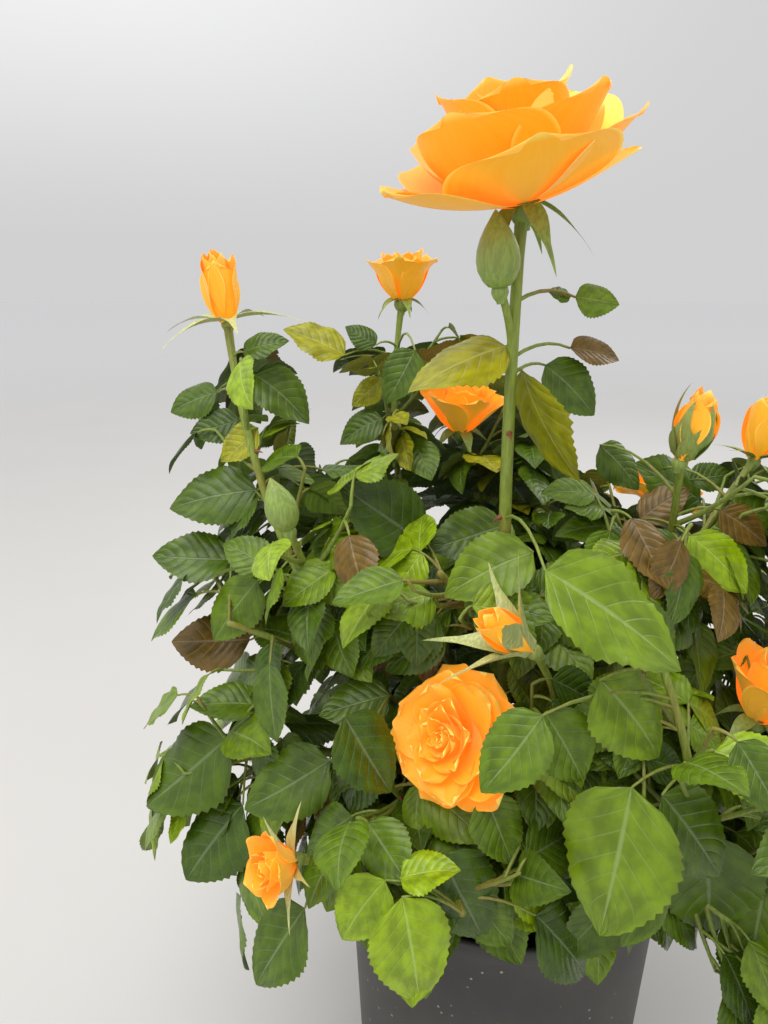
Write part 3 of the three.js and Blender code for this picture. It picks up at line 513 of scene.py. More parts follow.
def photo_pixels(points):
    """Where points show in the photograph, and how far off they are along its view."""
    ahead, upward = photo_axes()
    apart = points - CAMERA_PLACE
    far = apart @ ahead
    x = CAMERA_FRAME[0] / 2 + CAMERA_FOCUS * apart[:, 0] / far
    y = CAMERA_FRAME[1] / 2 - CAMERA_FOCUS * (apart @ upward) / far
    return x, y, far


def shows_in_crown(x, y):
    """Whether pixels lie inside the crown's outline."""
    inside = np.zeros(len(x), dtype=bool)
    for (ax, ay), (bx, by) in zip(CROWN_OUTLINE, CROWN_OUTLINE[1:] + CROWN_OUTLINE[:1]):
        if ay != by:
            inside ^= ((ay > y) != (by > y)) & (x < (bx - ax) * (y - ay) / (by - ay) + ax)
    return inside


# Plan of the limbs


class Limb:
    """A cane or a stem: its curve and its radius at the foot and at the end."""

    def __init__(self, curve, foot, end):
        self.curve = curve
        self.foot = foot
        self.end = end

    def radius(self, t):
        return mix(self.foot, self.end, t)


def plan_canes():
    """Every cane and bough by its name."""
    canes = {}
    for name, on, share, climb, tip, foot, end in CANES:
        start = UNION if on == "trunk" else canes[on].curve.at(share)
        tip = vector(tip)
        level = tip - start
        level[2] = 0
        climb = math.radians(climb)
        lead = unit(level) * math.cos(climb) + UP * math.sin(climb)
        canes[name] = Limb(grow_curve(start, lead, tip), foot, end)
    return canes


def plan_shoot(row, canes):
    """The stem of one shoot."""
    parent = canes[row["on"]]
    share = min(row["at"], LAST_SHARE)
    start = parent.curve.at(share)
    tip = vector(row["tip"])
    lead = parent.curve.along(share)
    if row["at"] < 1:
        lead = unit(lead + unit(tip - start) * TIP_PULL)
    return Limb(grow_curve(start, lead, tip), row.get("foot", STEM_FOOT), row.get("end", STEM_END))


def bud_stalk(shoot, bud):
    """The stalk of a side bud."""
    start = shoot.curve.at(bud["at"])
    lead = shoot.curve.along(bud["at"])
    curve = grow_curve(start, lead, vector(bud["tip"]), bud.get("bow", (0, 0, 0)))
    return Limb(curve, BUD_STALK_FOOT, BUD_STALK_END)


# Shape of one compound leaf


class Leaf:
    """A leaf's stalk and the corners of its leaflets, each an array with one row for a leaflet."""

    def __init__(self, foot, aim, size, pairs, roll):
        length = size * STALK_SHARE * (0.6 + 0.2 * pairs if pairs > 0 else LONE_STALK)
        sag = length * STALK_SAG
        stalk = aim * length

        def stalk_at(s):
            return foot + stalk * s - UP * (sag * s * s)

        def stalk_along(s):
            return unit(stalk - UP * (2 * sag * s))

        face = skyward(foot)
        end = stalk_along(1)
        side = unit(cross(end, face))
        bases = [stalk_at(1)]
        alongs = [unit(end - UP * LEAFLET_HANG)]
        sizes = [size]
        tilts = [roll()]
        for pair in range(pairs):
            for hand in (-1, 1):
                place = PAIR_PLACES[pair]
                spread = math.radians(PAIR_SPREAD + PAIR_JITTER * (roll() - 0.5))
                along = stalk_along(place) * math.cos(spread) + side * (hand * math.sin(spread))
                alongs.append(unit(along - UP * LEAFLET_HANG))
                bases.append(stalk_at(place) + end * (hand * PAIR_STEP * 0.5))
                sizes.append(size * PAIR_SIZES[pair])
                tilts.append(roll())
        self.stalk = np.array([foot, stalk_at(0.5), stalk_at(1)])
        self.shape(np.array(bases), np.array(alongs), np.array(sizes), face, np.array(tilts))

    def shape(self, base, along, size, face, tilts):
        tilt = np.radians(LEAF_TILT * (tilts - 0.5))[:, None]
        level = units(face - along * (along @ face)[:, None])
        normal = level * np.cos(tilt) + np.cross(along, level) * np.sin(tilt)
        right = units(np.cross(along, normal))
        length = size[:, None]
        half = right * (length * LEAFLET_WIDTH / 2)
        self.base = base
        self.along = along
        self.normal = normal
        self.right_way = right
        self.size = size
        self.rib = base + along * (length * LEAFLET_WIDEST)
        self.tip = base + along * (length * LEAFLET_REACH) - normal * (length * LEAFLET_SAG)
        self.left = self.rib - half
        self.right = self.rib + half

    def checked_points(self):
        halves = [(end + side) / 2 for end in (self.base, self.tip) for side in (self.left, self.right)]
        return np.concatenate([self.tip, self.left, self.right, self.rib, *halves])

    def faces(self):
        near = np.stack([self.base, self.right, self.left], axis=1)
        far = np.stack([self.right, self.tip, self.left], axis=1)
        return np.concatenate([near, far])

    def edges(self):
        ring = (self.base, self.right, self.tip, self.left)
        return np.concatenate([np.stack([ring[k], ring[(k + 1) % 4]], axis=1) for k in range(4)])

    def wires(self):
        return np.stack([self.stalk[:2], self.stalk[1:]])


class PhotoLeaf(Leaf):
    """A leaf of one leaflet that lies where the photograph shows it, on a stalk from the nearest limb."""

    def __init__(self, plant, row, roll):
        (foot_x, foot_y), (tip_x, tip_y), foot_depth, tip_depth, tint, *twist = row
        foot = photo_point(foot_x, foot_y, foot_depth)
        tip = photo_point(tip_x, tip_y, tip_depth)
        size = float(np.linalg.norm(tip - foot)) / LEAFLET_REACH
        start = plant.nearest_limb_point(foot)
        reach = float(np.linalg.norm(foot - start))
        self.stalk = np.array([start, (start + foot) / 2 + UP * (0.12 * reach), foot])
        towards, upward = PHOTO_LEAF_FACE
        face = unit(unit(CAMERA_PLACE - foot) * towards + UP * upward)
        along = unit(tip - foot)
        if twist:
            face = turned(face, along, math.radians(twist[0]))
        self.tint = tint
        self.shape(foot[None], along[None], np.array([size]), face, np.array([roll()]))


# Gaps and crossings, each for many pieces against many faces at once


def dots(a, b):
    return np.einsum("...k,...k->...", a, b)


def piece_gap(a, b, c, d):
    """Shortest distance between straight pieces."""
    ab = b - a
    cd = d - c
    ac = a - c
    abab = dots(ab, ab)
    cdcd = dots(cd, cd)
    abcd = dots(ab, cd)
    spare = abab * cdcd - abcd * abcd
    cdac = dots(cd, ac)
    abac = dots(ab, ac)
    s = np.where(spare > 1e-9, np.clip((abcd * cdac - cdcd * abac) / np.maximum(spare, 1e-9), 0, 1), 0)
    t = np.clip((abcd * s + cdac) / cdcd, 0, 1)
    s = np.clip((abcd * t - abac) / abab, 0, 1)
    apart = ac + ab * s[..., None] - cd * t[..., None]
    return np.sqrt(dots(apart, apart))


def is_inside(point, p, q, r, normal):
    inside = True
    for start, end in ((p, q), (q, r), (r, p)):
        inside = inside & (dots(np.cross(end - start, point - start), normal) >= 0)
    return inside


def face_gap(a, b, corners):
    """Shortest distance from straight pieces to flat three-cornered faces."""
    p, q, r = (corners[..., k, :] for k in range(3))
    gap = np.minimum(piece_gap(a, b, p, q), np.minimum(piece_gap(a, b, q, r), piece_gap(a, b, r, p)))
    normal = units(np.cross(q - p, r - p))
    heights = [dots(end - p, normal) for end in (a, b)]
    for end, height in zip((a, b), heights):
        shadow = end - normal * height[..., None]
        gap = np.where(is_inside(shadow, p, q, r, normal), np.minimum(gap, np.abs(height)), gap)
    return np.where(pierces(a, b, corners), 0, gap)


def pierces(a, b, corners):
    """Whether straight pieces run through flat three-cornered faces."""
    p, q, r = (corners[..., k, :] for k in range(3))
    normal = np.cross(q - p, r - p)
    start = dots(a - p, normal)
    end = dots(b - p, normal)
    apart = start - end
    share = start / np.where(apart == 0, np.inf, apart)
    point = a + (b - a) * share[..., None]
    return (start * end <= 0) & (apart != 0) & is_inside(point, p, q, r, normal)


def any_pierce(wires, faces):
    """Whether any straight piece runs through any face, looking only at those that lie near each other."""
    if len(wires) == 0 or len(faces) == 0:
        return False
    meet = wires.min(axis=1)[:, None] <= faces.max(axis=1)[None]
    meet = meet & (wires.max(axis=1)[:, None] >= faces.min(axis=1)[None])
    wire, face = np.nonzero(meet.all(axis=2))
    if len(wire) == 0:
        return False
    return bool(pierces(wires[wire, 0], wires[wire, 1], faces[face]).any())


# Surroundings that every leaf and twig has to fit


def rows_of_pieces(curve, foot, end, owner):
    """A limb as straight pieces: start, end, radius and owner."""
    count = 6
    rows = []
    for k in range(count):
        start = k / count
        rows.append((curve.at(start), curve.at((k + 1) / count), mix(foot, end, start), owner))
    return rows


def blossom_piece(blossom, seat):
    """A blossom's room as one straight piece that no shoot owns."""
    kind, width, lean = blossom
    low, high, radius = BLOSSOM_ROOM[kind]
    lean = unit(vector(lean))
    return (seat + lean * (width * low), seat + lean * (width * high), width * radius, -1)


class Surroundings:
    """The spaces of the shoots, and the limbs and blossom that nothing may touch."""

    def __init__(self, canes, shoots):
        self.sites = np.array([shoot.curve.at(SITE_PLACE) for shoot in shoots])
        self.rooms = np.array([row.get("room", 0) for row in SHOOTS], dtype=float)
        self.apart = np.linalg.norm(self.sites[:, None] - self.sites[None], axis=2)
        rows = []
        for number, cane in enumerate(canes.values()):
            rows += rows_of_pieces(cane.curve, cane.foot, cane.end, len(shoots) + number)
        for owner, (shoot, row) in enumerate(zip(shoots, SHOOTS)):
            rows += rows_of_pieces(shoot.curve, shoot.foot, shoot.end, owner)
            if "blossom" in row:
                rows.append(blossom_piece(row["blossom"], shoot.curve.at(1)))
            for bud in row.get("buds", []):
                stalk = bud_stalk(shoot, bud)
                rows += rows_of_pieces(stalk.curve, stalk.foot, stalk.end, owner)
                rows.append(blossom_piece(bud["blossom"], vector(bud["tip"])))
        self.starts = np.array([row[0] for row in rows])
        self.ends = np.array([row[1] for row in rows])
        self.radius = np.array([row[2] for row in rows])
        self.owner = np.array([row[3] for row in rows])
        self.spots = np.zeros((0, 4))
        self.add_spots(self.blossom_spots(rows))
        self.middle = (self.starts + self.ends) / 2
        self.half = np.linalg.norm(self.ends - self.starts, axis=1) / 2 + self.radius

    def blossom_spots(self, rows):
        """Round spots of the photograph where a blossom shows, with its distance."""
        for start, end, radius, owner in rows:
            if owner == -1:
                x, y, far = photo_pixels(((start + end) / 2)[None])
                yield (x[0], y[0], CAMERA_FOCUS * radius * 1.25 / far[0], far[0])

    def add_spots(self, spots):
        self.spots = np.concatenate([self.spots, np.array(list(spots)).reshape(-1, 4)])

    def keeps_the_view(self, points):
        """Whether points stay inside the crown's outline and hide nothing that the photograph shows."""
        x, y, far = photo_pixels(points)
        if not shows_in_crown(x, y).all():
            return False
        apart = np.hypot(x[:, None] - self.spots[:, 0], y[:, None] - self.spots[:, 1])
        hides = (apart < self.spots[:, 2]) & (far[:, None] < self.spots[:, 3])
        return not hides.any()

    def space_at(self, point):
        """The number of the shoot whose space holds a point."""
        return int(np.argmin(((self.sites - point) ** 2).sum(axis=1) - self.rooms))

    def keeps_its_space(self, points, space, margin):
        reach = ((points[:, None] - self.sites[None]) ** 2).sum(axis=2) - self.rooms
        nearer = np.delete(reach - reach[:, space, None], space, axis=1)
        apart = np.delete(self.apart[space], space)
        return bool((nearer / (2 * apart) > margin).all())

    def clears_pot(self, points):
        reach = np.hypot(points[:, 0], points[:, 1])
        height = points[:, 2]
        if ((height < POT_HEIGHT + POT_MARGIN) & (reach < POT_MOUTH_RADIUS + LIP_OUT + POT_MARGIN)).any():
            return False
        return bool(((height > WOOD_TOP) | (reach > WOOD_RADIUS)).all())

    def takes_points(self, points, space, margin):
        if not self.clears_pot(points) or not self.keeps_the_view(points):
            return False
        return self.keeps_its_space(points, space, margin)

    def near(self, points, room):
        middle = points.mean(axis=0)
        reach = np.linalg.norm(points - middle, axis=1).max() + room
        return np.linalg.norm(self.middle - middle, axis=1) < reach + self.half

    def takes_twig(self, points, radius, owner, space, margin):
        if not self.takes_points(points, space, margin):
            return False
        near = self.near(points, radius + LIMB_MARGIN) & (self.owner != owner)
        starts = points[:-1, None]
        ends = points[1:, None]
        gaps = piece_gap(starts, ends, self.starts[near][None], self.ends[near][None])
        return bool((gaps > self.radius[near] + radius + LIMB_MARGIN).all())

    def takes_leaf(self, leaf, owner, space, margin):
        points = leaf.checked_points()
        if not self.takes_points(points, space, margin):
            return False
        if not self.takes_twig(leaf.stalk, STALK_RADIUS, owner, space, margin):
            return False
        near = self.near(points, LIMB_MARGIN)
        if not near.any():
            return True
        room = np.where(self.owner[near] == owner, 0, LIMB_MARGIN)
        gaps = face_gap(self.starts[near][None], self.ends[near][None], leaf.faces()[:, None])
        return bool((gaps > self.radius[near] + room).all())


class Space:
    """What has grown in one shoot's space so far."""

    def __init__(self):
        self.leaves = []
        self.twigs = []
        self.wires = np.zeros((0, 2, 3))
        self.faces = np.zeros((0, 3, 3))
        self.edges = np.zeros((0, 2, 3))

    def keep_leaf(self, leaf):
        self.leaves.append(leaf)
        self.wires = np.concatenate([self.wires, leaf.wires()])
        self.faces = np.concatenate([self.faces, leaf.faces()])
        self.edges = np.concatenate([self.edges, leaf.edges()])

    def keep_twig(self, twig, pieces):
        self.twigs.append(twig)
        self.wires = np.concatenate([self.wires, pieces])

    def crosses(self, leaf):
        """Whether a new leaf would cut through a leaf, stalk or twig that is there."""
        wires = np.concatenate([leaf.edges(), leaf.wires()])
        if any_pierce(wires, self.faces):
            return True
        return any_pierce(np.concatenate([self.edges, self.wires]), leaf.faces())


class Growth:
    """The growth rule: it tries a leaf at each node, turning and shrinking it until it fits."""

    def __init__(self, plant, owner, roll, tries, margin):
        self.plant = plant
        self.owner = owner
        self.roll = roll
        self.tries = tries
        self.margin = margin

    def fits(self, leaf, crowded=False):
        """Whether a leaf finds room; a crowded one, deep in the crown, may touch its neighbours."""
        space = self.space_of(leaf)
        if not self.plant.around.takes_leaf(leaf, self.owner, space, self.margin):
            return False
        if crowded and math.hypot(leaf.rib[0, 0], leaf.rib[0, 1]) < CROWDED_REACH:
            return True
        return not self.plant.spaces[space].crosses(leaf) and not self.plant.front.crosses(leaf)

    def space_of(self, leaf):
        """A shoot's leaf stays in its own space, and a cane's leaf in the one that it reaches."""
        if self.owner < len(SHOOTS):
            return self.owner
        return self.plant.around.space_at(leaf.rib[0])

    def keep(self, leaf):
        self.plant.spaces[self.space_of(leaf)].keep_leaf(leaf)

    def clothe(self, curve, count, start, stop, full_size, pairs):
        turn = 360 * self.roll()
        for place in range(count):
            share = place / (count - 1) if count > 1 else 1
            size = full_size * mix(1, YOUNG_SIZE, share) * (0.92 + 0.16 * self.roll())
            turn += LEAF_TURN
            self.fit_leaf(curve, mix(start, stop, share), turn, size, pairs)

    def fit_leaf(self, curve, t, turn, size, pairs):
        foot = curve.at(t)
        along = curve.along(t)
        for attempt in range(self.tries):
            rise = math.radians(LEAF_RISE + RISE_SPREAD * (self.roll() - 0.5))
            aim = aside(along, turn + attempt * TRY_TURN, rise)
            fewer = max(0, pairs - (3 * attempt) // self.tries)
            leaf = Leaf(foot, aim, size * TRY_SHRINK ** attempt, fewer, self.roll)
            if self.fits(leaf, self.margin < 0 and attempt >= self.tries / 2):
                self.keep(leaf)
                return

    def fit_twig(self, curve, t, longest):
        foot = curve.at(t)
        along = curve.along(t)
        turn = 360 * self.roll()
        space = self.plant.spaces[self.owner]
        for attempt in range(self.tries):
            aim = aside(along, turn + attempt * TRY_TURN, math.radians(LEAF_RISE))
            reach = longest * TRY_SHRINK ** attempt
            tip = foot + aim * reach + UP * (reach * TWIG_LIFT)
            twig = grow_curve(foot, aim, tip)
            points = np.array([twig.at(k / 4) for k in range(5)])
            pieces = np.stack([points[:-1], points[1:]], axis=1)
            if any_pierce(pieces, space.faces):
                continue
            if self.plant.around.takes_twig(points, TWIG_RADIUS, self.owner, self.owner, self.margin):
                space.keep_twig(twig, pieces)
                return twig
        return None


class Plant:
    """The whole plan: limbs, and the leaves and twigs of each space."""

    def __init__(self):
        self.canes = plan_canes()
        self.shoots = [plan_shoot(row, self.canes) for row in SHOOTS]
        self.around = Surroundings(self.canes, self.shoots)
        self.spaces = [Space() for _ in SHOOTS]
        self.front = Space()
        self.pose_front()
        for owner, row in enumerate(SHOOTS):
            self.grow_main(owner, row)
        for owner, row in enumerate(SHOOTS):
            if row["name"] not in BARE_SHOOTS:
                self.grow_fine(owner, row)
        for number, cane in enumerate(self.canes.values()):
            roll = dice(CANE_SEED + number)
            growth = Growth(self, len(SHOOTS) + number, roll, FINE_TRIES, FINE_MARGIN)
            growth.clothe(cane.curve, CANE_LEAVES, *CANE_LEAF_SPAN, CANE_LEAF_SIZE, 2)

    def nearest_limb_point(self, point):
        """The point of a cane or stem that a leaf's stalk can come from."""
        limbs = list(self.canes.values()) + self.shoots
        spots = np.concatenate([path_of(limb.curve, 40, 0.15, 0.97) for limb in limbs])
        gap = np.linalg.norm(spots - point, axis=1) + np.maximum(0, spots[:, 2] - point[2])
        return spots[int(np.argmin(gap))]

    def pose_front(self):
        """The leaves that the photograph shows, and their spots in it."""
        roll = dice(PHOTO_SEED)
        for row in PHOTO_LEAVES:
            leaf = PhotoLeaf(self, row, roll)
            self.front.keep_leaf(leaf)
            x, y, far = photo_pixels(leaf.rib)
            radius = CAMERA_FOCUS * leaf.size * PHOTO_SPOT / far
            self.around.add_spots(np.stack([x, y, radius, far - 4], axis=1))

    def grow_main(self, owner, row):
        """The leaves and twigs that the solids have."""
        curve = self.shoots[owner].curve
        growth = Growth(self, owner, dice(row["seed"]), LEAF_TRIES, SPACE_MARGIN)
        growth.clothe(curve, row["leaves"], row["start"], row["stop"], row["size"], 2)
        if "blossom" not in row:
            leaf = Leaf(curve.at(1), curve.along(1), row["size"] * YOUNG_SIZE, 1, growth.roll)
            if growth.fits(leaf):
                growth.keep(leaf)
        for number in range(row.get("twigs", 0)):
            twig = growth.fit_twig(curve, TWIG_START + TWIG_STEP * number, TWIG_REACH)
            if twig:
                growth.clothe(twig, TWIG_LEAVES, 0.7, 1, row["size"], 1)

    def grow_fine(self, owner, row):
        """The same rule, carried on to finer twigs and leaves."""
        curve = self.shoots[owner].curve
        size = row["size"] * FINE_SIZE
        growth = Growth(self, owner, dice(FINE_SEED + row["seed"]), FINE_TRIES, FINE_MARGIN)
        for twig in list(self.spaces[owner].twigs):
            growth.clothe(twig, FINE_TWIG_LEAVES, 0.3, 0.95, size, 2)
        growth.clothe(curve, FINE_STEM_LEAVES, 0.15, row["stop"], size, 2)
        for place in FINE_TWIGS:
            if place > row["stop"]:
                continue
            twig = growth.fit_twig(curve, place, FINE_TWIG_REACH)
            if twig:
                growth.clothe(twig, FINE_TWIG_LEAVES, 0.35, 1, size, 2)


@functools.cache
def plant():
    """The plan is worked out once, for all the pieces that follow it."""
    return Plant()


# Meshes


class Build:
    """Corners and four-cornered faces, gathered before they become one mesh."""

    def __init__(self):
        self.points = []
        self.quads = []
        self.places = []
        self.finishes = []
        self.count = 0

    def add(self, points, quads, places=None, finish=0):
        """Adds corners and faces; places has each face corner's spot on the finish's tile."""
        self.points.append(points.reshape(-1, 3))
        self.quads.append(quads + self.count)
        if places is None:
            places = np.zeros((*quads.shape, 2))
        self.places.append(places)
        self.finishes.append(np.full(len(quads), finish))
        self.count += len(self.points[-1])

    def add_grids(self, grids, places=None, around=False, finish=0):
        """Adds grids of corners, shape (number, rows, columns, 3); around closes each row to a ring."""
        number, rows, columns = grids.shape[:3]
        quads = grid_quads(rows, columns, around)
        count = len(quads)
        steps = np.arange(number)[:, None, None] * (rows * columns)
        every = (quads[None] + steps).reshape(-1, 4)
        if places is not None:
            corners = places.reshape(number, -1, 2)[:, quads]
            places = corners.reshape(number * count, 4, 2)
        self.add(grids, every, places, finish)

    def piece(self, name, materials, tile=False):
        """Makes the object, in metres, smooth shaded and with its finishes."""
        points = np.concatenate(self.points) * MM
        quads = np.concatenate(self.quads)
        mesh = bpy.data.meshes.new(name)
        mesh.vertices.add(len(points))
        mesh.vertices.foreach_set("co", points.astype(np.float32).ravel())
        mesh.loops.add(quads.size)
        mesh.loops.foreach_set("vertex_index", quads.astype(np.int32).ravel())
        mesh.polygons.add(len(quads))
        mesh.polygons.foreach_set("loop_start", np.arange(0, quads.size, 4, dtype=np.int32))
        mesh.polygons.foreach_set("material_index", np.concatenate(self.finishes).astype(np.int32))
        mesh.update(calc_edges=True)
        if tile:
            layer = mesh.uv_layers.new(name=UV_MAP)
            places = np.concatenate(self.places)
            layer.uv.foreach_set("vector", places.astype(np.float32).ravel())
        mesh.shade_smooth()
        mesh.validate()
        piece = bpy.data.objects.new(name, mesh)
        bpy.context.scene.collection.objects.link(piece)
        for material in materials:
            mesh.materials.append(material)
        return piece


def grid_quads(rows, columns, around):
    """The faces of one grid of corners."""
    across = columns if around else columns - 1
    i, j = np.meshgrid(np.arange(rows - 1), np.arange(across), indexing="ij")
    i = i.ravel()
    j = j.ravel()
    k = (j + 1) % columns
    return np.stack([i * columns + j, i * columns + k, (i + 1) * columns + k, (i + 1) * columns + j], axis=1)


def settle(piece, nodes):
    """Gives a piece its body and hides the nodes of the solids that it stands for."""
    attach(piece, "root")
    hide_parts(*nodes)


def rings_along(paths, radii, sides):
    """Rings of corners round paths of shape (number, steps, 3), with a radius for each step or corner."""
    along = units(np.gradient(paths, axis=1))
    first = along[:, 0]
    helper = np.where(np.abs(first[:, 2:]) < 0.9, UP, vector((1, 0, 0)))
    side = units(helper[:, None] - along * dots(along, helper[:, None])[..., None])
    across = np.cross(along, side)
    turns = ring_turns(sides)
    out = side[:, :, None] * np.cos(turns)[:, None] + across[:, :, None] * np.sin(turns)[:, None]
    if radii.ndim == 2:
        radii = radii[:, :, None]
    return paths[:, :, None] + out * radii[..., None]


def path_of(curve, steps, start=0, stop=1):
    """Points along a curve, from one share of its length to another."""
    return np.array([curve.at(mix(start, stop, k / (steps - 1))) for k in range(steps)])


def round_end(paths, radii):
    """Closes the far end of each path with a small round cap."""
    ends = paths[:, -1:] + units(paths[:, -1:] - paths[:, -2:-1]) * radii[:, -1:, None] * 0.6
    return np.concatenate([paths, ends], axis=1), np.concatenate([radii, radii[:, -1:] * 0.05], axis=1)


# Materials


def colour(red, green, blue):
    """A colour given as a screen shows it, from 0 to 255, as the shader's linear values."""
    return tuple(channel(value / 255) for value in (red, green, blue))


def channel(value):
    return value / 12.92 if value <= 0.04045 else ((value + 0.055) / 1.055) ** 2.4


class Nodes:
    """Adds nodes to a tree and links them, with values or outputs as inputs."""

    def __init__(self, tree):
        self.tree = tree

    def new(self, kind, **settings):
        node = self.tree.nodes.new(kind)
        for name, value in settings.items():
            setattr(node, name, value)
        return node

    def feed(self, socket, value):
        if isinstance(value, bpy.types.NodeSocket):
            self.tree.links.new(value, socket)
        elif socket.type == "RGBA":
            socket.default_value = (*tuple(value)[:3], 1)
        else:
            socket.default_value = value

    def math(self, operation, *values):
        node = self.new("ShaderNodeMath", operation=operation)
        for socket, value in zip(node.inputs, values):
            self.feed(socket, value)
        return node.outputs[0]

    def blend(self, share, low, high):
        """A colour between two, by a share."""
        node = self.new("ShaderNodeMix", data_type="RGBA")
        self.feed(node.inputs[0], share)
        self.feed(node.inputs[6], low)
        self.feed(node.inputs[7], high)
        return node.outputs[2]

    def band(self, value, low, high, start=0.0, end=1.0):
        """A soft step as a value passes from low to high."""
        node = self.new("ShaderNodeMapRange", interpolation_type="SMOOTHSTEP")
        for socket, given in zip(node.inputs[:5], (value, low, high, start, end)):
            self.feed(socket, given)
        return node.outputs[0]

    def noise(self, place, scale, detail=3.0, roughness=0.55):
        node = self.new("ShaderNodeTexNoise")
        self.feed(node.inputs["Vector"], place)
        node.inputs["Scale"].default_value = scale
        node.inputs["Detail"].default_value = detail
        node.inputs["Roughness"].default_value = roughness
        return node.outputs[0]

    def cells(self, place, scale):
        node = self.new("ShaderNodeTexVoronoi")
        self.feed(node.inputs["Vector"], place)
        node.inputs["Scale"].default_value = scale
        return node.outputs[0]

    def stretched(self, place, factors):
        node = self.new("ShaderNodeVectorMath", operation="MULTIPLY")
        self.feed(node.inputs[0], place)
        node.inputs[1].default_value = factors
        return node.outputs[0]

    def object_place(self):
        return self.new("ShaderNodeTexCoord").outputs["Object"]

    def bump(self, height, strength, distance):
        node = self.new("ShaderNodeBump")
        node.inputs["Strength"].default_value = strength
        node.inputs["Distance"].default_value = distance
        self.feed(node.inputs["Height"], height)
        return node.outputs[0]

    def use(self, group, **inputs):
        node = self.new("ShaderNodeGroup", node_tree=group)
        for name, value in inputs.items():
            self.feed(node.inputs[name.replace("_", " ")], value)
        return node.outputs


def node_group(name, inputs, outputs):
    """A new shader node group with its sockets, and its input and output nodes."""
    tree = bpy.data.node_groups.new(name, "ShaderNodeTree")
    kinds = {"colour": "NodeSocketColor", "value": "NodeSocketFloat"}
    for title, kind in inputs:
        tree.interface.new_socket(title, in_out="INPUT", socket_type=kinds[kind])
    for title, kind in outputs:
        tree.interface.new_socket(title, in_out="OUTPUT", socket_type=kinds[kind])
    nodes = Nodes(tree)
    return tree, nodes, nodes.new("NodeGroupInput").outputs, nodes.new("NodeGroupOutput").inputs


def new_material(name):
    """A material with its shader, ready for the nodes of a finish."""
    material = bpy.data.materials.new(name)
    material.use_nodes = True
    tree = material.node_tree
    return material, Nodes(tree), tree.nodes["Principled BSDF"].inputs


def tile_place(nodes):
    """Where a leaflet's or petal's face lies on its quarter of the tile: across from -1 to 1, and along."""
    tile = nodes.new("ShaderNodeUVMap", uv_map=UV_MAP).outputs[0]
    split = nodes.new("ShaderNodeSeparateXYZ")
    nodes.feed(split.inputs[0], tile)
    halves = [nodes.math("FRACT", nodes.math("MULTIPLY", axis, 2)) for axis in split.outputs[:2]]
    return nodes.math("MULTIPLY_ADD", halves[0], 2, -1), halves[1], tile


@functools.cache
def leaf_pattern():
    """Group: midrib, side veins, mottling and a thin warm edge on a leaflet."""
    inputs = (("Leaf Colour", "colour"), ("Vein Colour", "colour"), ("Edge Colour", "colour"))
    outputs = (("Colour", "colour"), ("Roughness", "value"), ("Height", "value"))
    tree, nodes, given, result = node_group("leaf pattern", inputs, outputs)
    across, along, tile = tile_place(nodes)
    x = nodes.math("ABSOLUTE", across)
    bent = nodes.math("SUBTRACT", nodes.math("MULTIPLY", along, 7.5), nodes.math("MULTIPLY", x, 2.1))
    offset = nodes.math("ABSOLUTE", nodes.math("SUBTRACT", nodes.math("FRACT", bent), 0.5))
    fading = nodes.band(x, 0.2, 1.0, 0.5, 0.1)
    side_vein = nodes.math("MULTIPLY", nodes.band(offset, 0.42, 0.5), fading)
    midrib = nodes.band(x, 0.015, 0.06, 1, 0)
    veins = nodes.math("MAXIMUM", side_vein, midrib)
    fine = nodes.noise(tile, 60, 2)
    broad = nodes.noise(tile, 9, 3)
    shade = nodes.band(broad, 0.3, 0.7)
    deep = nodes.blend(0.44, given["Leaf Colour"], (0.0, 0.012, 0.0))
    ground = nodes.blend(shade, deep, given["Leaf Colour"])
    veined = nodes.blend(nodes.math("MULTIPLY", veins, 0.75), ground, given["Vein Colour"])
    edge = nodes.math("MULTIPLY", nodes.band(x, 0.93, 1.0), 0.7)
    nodes.feed(result["Colour"], nodes.blend(edge, veined, given["Edge Colour"]))
    nodes.feed(result["Roughness"], nodes.math("MULTIPLY_ADD", fine, 0.16, 0.25))
    pillow = nodes.math("SUBTRACT", 0.25, nodes.math("MULTIPLY", offset, offset))
    pillow = nodes.math("MULTIPLY", pillow, 0.5)
    ridge = nodes.math("MULTIPLY", veins, 0.14)
    high = nodes.math("SUBTRACT", pillow, ridge)
    nodes.feed(result["Height"], nodes.math("ADD", high, nodes.math("MULTIPLY", fine, 0.05)))
    return tree


@functools.cache
def leaf_material(tint):
    """Glossy leaf of one tint, with paler veins and a paler, duller underside."""
    face, gloss = LEAF_TINTS[tint]
    under = tuple(value * 0.8 + 0.08 for value in face)
    vein = tuple(value * 0.9 + 0.1 for value in face)
    material, nodes, shader = new_material("leaf_" + tint)
    pattern = nodes.use(leaf_pattern(), Leaf_Colour=face, Vein_Colour=vein, Edge_Colour=LEAF_EDGE)
    from_behind = nodes.new("ShaderNodeNewGeometry").outputs["Backfacing"]
    pale = nodes.blend(0.75, pattern["Colour"], under)
    nodes.feed(shader["Base Color"], nodes.blend(from_behind, pattern["Colour"], pale))
    dull = nodes.math("MULTIPLY", from_behind, 0.25)
    rough = nodes.math("MULTIPLY", pattern["Roughness"], gloss)
    nodes.feed(shader["Roughness"], nodes.math("ADD", rough, dull))
    nodes.feed(shader["Normal"], nodes.bump(pattern["Height"], 0.7, 0.003))
    shader["Specular IOR Level"].default_value = 0.4
    return material


